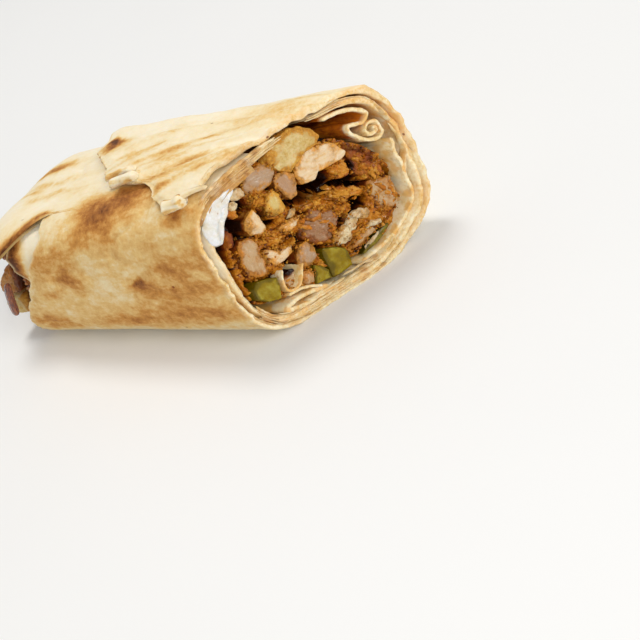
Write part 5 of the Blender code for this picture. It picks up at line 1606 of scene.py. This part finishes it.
# lamps: name, where, size across, power, colour
LAMPS = [
    ("key", (-0.30, 0.35, 1.25), 0.45, 6.9, (1.0, 0.98, 0.95)),
    ("glint", (0.62, -0.42, 0.42), 0.04, 0.9, (1.0, 0.99, 0.97)),
    ("fill", (1.15, -0.20, 0.80), 0.7, 6.6, (1.0, 0.995, 0.98)),
]

WORLD_LIGHT = 0.47
FLOOR_SIZE = 6.0

# the camera: degrees round, up and rolled; what it looks at and from how far; lens on its sensor
CAMERA_TURN = np.radians([42.5787, 36.5457, -28.3586])
CAMERA_TARGET = np.array([0.0303, 0.0, -0.0183])
CAMERA_DISTANCE = 0.3445
LENS = 59.617
SENSOR = 36.0


def pale_floor():
    """A wide floor, nearly white."""
    bpy.ops.mesh.primitive_plane_add(size=FLOOR_SIZE, location=(0.0, 0.0, 0.0))
    floor = bpy.context.object
    floor.name = "floor"
    f = Finish("pale floor", Roughness=0.55, Specular_IOR_Level=0.2)
    tint = f.ramp(f.noise(f.object_mm(), 300.0), [(0.3, (238, 238, 237)), (0.7, (241, 241, 240))])
    floor.data.materials.append(f.done(tint))


def studio_light():
    """White light from all round, and disks of light that face the origin."""
    world = bpy.data.worlds.new("studio")
    world.use_nodes = True
    world.node_tree.nodes["Background"].inputs["Color"].default_value = (1.0, 1.0, 1.0, 1.0)
    world.node_tree.nodes["Background"].inputs["Strength"].default_value = WORLD_LIGHT
    bpy.context.scene.world = world
    for name, where, size, power, colour in LAMPS:
        light = bpy.data.lights.new(name, "AREA")
        light.shape = "DISK"
        light.size = size
        light.energy = power
        light.color = colour
        lamp = bpy.data.objects.new(name, light)
        lamp.location = where
        lamp.rotation_euler = (-lamp.location).to_track_quat("-Z", "Y").to_euler()
        bpy.context.scene.collection.objects.link(lamp)


def photo_camera():
    """The camera, as it was fitted to the photo."""
    azimuth, elevation, roll = CAMERA_TURN
    back = np.array([np.sin(azimuth) * np.cos(elevation), -np.cos(azimuth) * np.cos(elevation),
                     np.sin(elevation)])
    right = np.array([np.cos(azimuth), np.sin(azimuth), 0.0])
    up = np.cross(back, right)
    side = np.cos(roll) * right + np.sin(roll) * up
    top = -np.sin(roll) * right + np.cos(roll) * up
    view = np.eye(4)
    view[:3, :4] = np.stack([side, top, back, CAMERA_TARGET + back * CAMERA_DISTANCE], axis=1)
    lens = bpy.data.cameras.new("camera")
    lens.sensor_width = SENSOR
    lens.lens = LENS
    lens.clip_start = 0.01
    camera = bpy.data.objects.new("camera", lens)
    camera.matrix_world = Matrix(view.tolist())
    bpy.context.scene.collection.objects.link(camera)
    bpy.context.scene.camera = camera


# meats: finish, its material's name, the colours of its face, rim and flank, and what sets it apart
MEATS = [
    ("pale_meat", "pale chicken", (232, 206, 168), (216, 152, 66), (150, 88, 24), {}),
    ("pink_meat", "pink chicken", (182, 152, 124), (188, 126, 46), (124, 68, 16), {}),
    ("ribbed_meat", "ribbed chicken", (182, 144, 112), (194, 134, 62), (124, 68, 16),
     {"fibre": (0.05, 0.5)}),
    ("grey_meat", "brown chicken", (198, 166, 126), (186, 120, 42), (118, 60, 14), {}),
    ("tan_meat", "tan chicken", (206, 140, 46), (192, 112, 18), (112, 48, 2), {"coat": 0.26}),
    ("roast_meat", "roast chicken", (150, 76, 22), (196, 116, 38), (78, 30, 6),
     {"mottle": 1.2, "coat": 0.26}),
    ("brown_meat", "browned chicken", (168, 128, 94), (146, 80, 24), (88, 42, 8), {"mottle": 0.7}),
    ("gold_meat", "golden chicken", (214, 150, 50), (188, 112, 18), (112, 52, 2), {"coat": 0.26}),
    ("fat", "soft fat", (214, 190, 122), (206, 150, 54), (144, 90, 26), {"weight": 0.35}),
    ("cream", "creamy bits", (226, 208, 168), (196, 146, 76), (146, 98, 40), {}),
    ("end_meat", "chicken at the open end", (190, 140, 84), (188, 120, 46), (120, 66, 20),
     {"dark": (64, 30, 10), "mottle": 0.8, "coat": 0.10}),
    ("end_roast", "roast chicken at the open end", (160, 110, 66), (160, 94, 34), (92, 46, 12),
     {"dark": (64, 30, 10), "mottle": 0.8, "coat": 0.10}),
    ("packed_meat", "packed meat", (204, 132, 40), (234, 168, 52), (176, 100, 14),
     {"dark": (12, 3, 0), "weight": 0.05, "mottle": 1.9, "coat": 0.16}),
]


def dress():
    """Every piece of the wrap with its finish."""
    bread, white = bread_finish(), sauce_finish()
    finishes = {kind: meat_finish(*row, **more) for kind, *row, more in MEATS}
    finishes["potato"] = potato_finish()
    finishes["pickle"] = pickle_finish("pickle", (144, 118, 0), (90, 74, 0))
    finishes["dark_pickle"] = pickle_finish("dark pickle", (108, 90, 2), (56, 47, 0), 0.3)
    flatbread(bread)
    for row in ROLLED_LIPS:
        rolled_lip(*row, bread)
    flakes(bread)
    for row in FOLDS:
        folded_strip(*row, bread)
    for row in RIBBONS:
        folded_strip(*row, bread, "bottom_fold")
    sauce(white)
    smear(white)
    core(finishes["packed_meat"])
    cut_pieces(finishes)
    end_pieces(finishes)
    shreds(finishes["tan_meat"])
    crumbs(finishes["gold_meat"])
    sauce_dabs(meat_finish("thin sauce", (222, 202, 164), (196, 148, 84), (200, 164, 108), weight=0.4,
                           mottle=0.8))
    onion(onion_finish())


dress()
pale_floor()
studio_light()
photo_camera()
bpy.context.scene.view_settings.view_transform = "Standard"
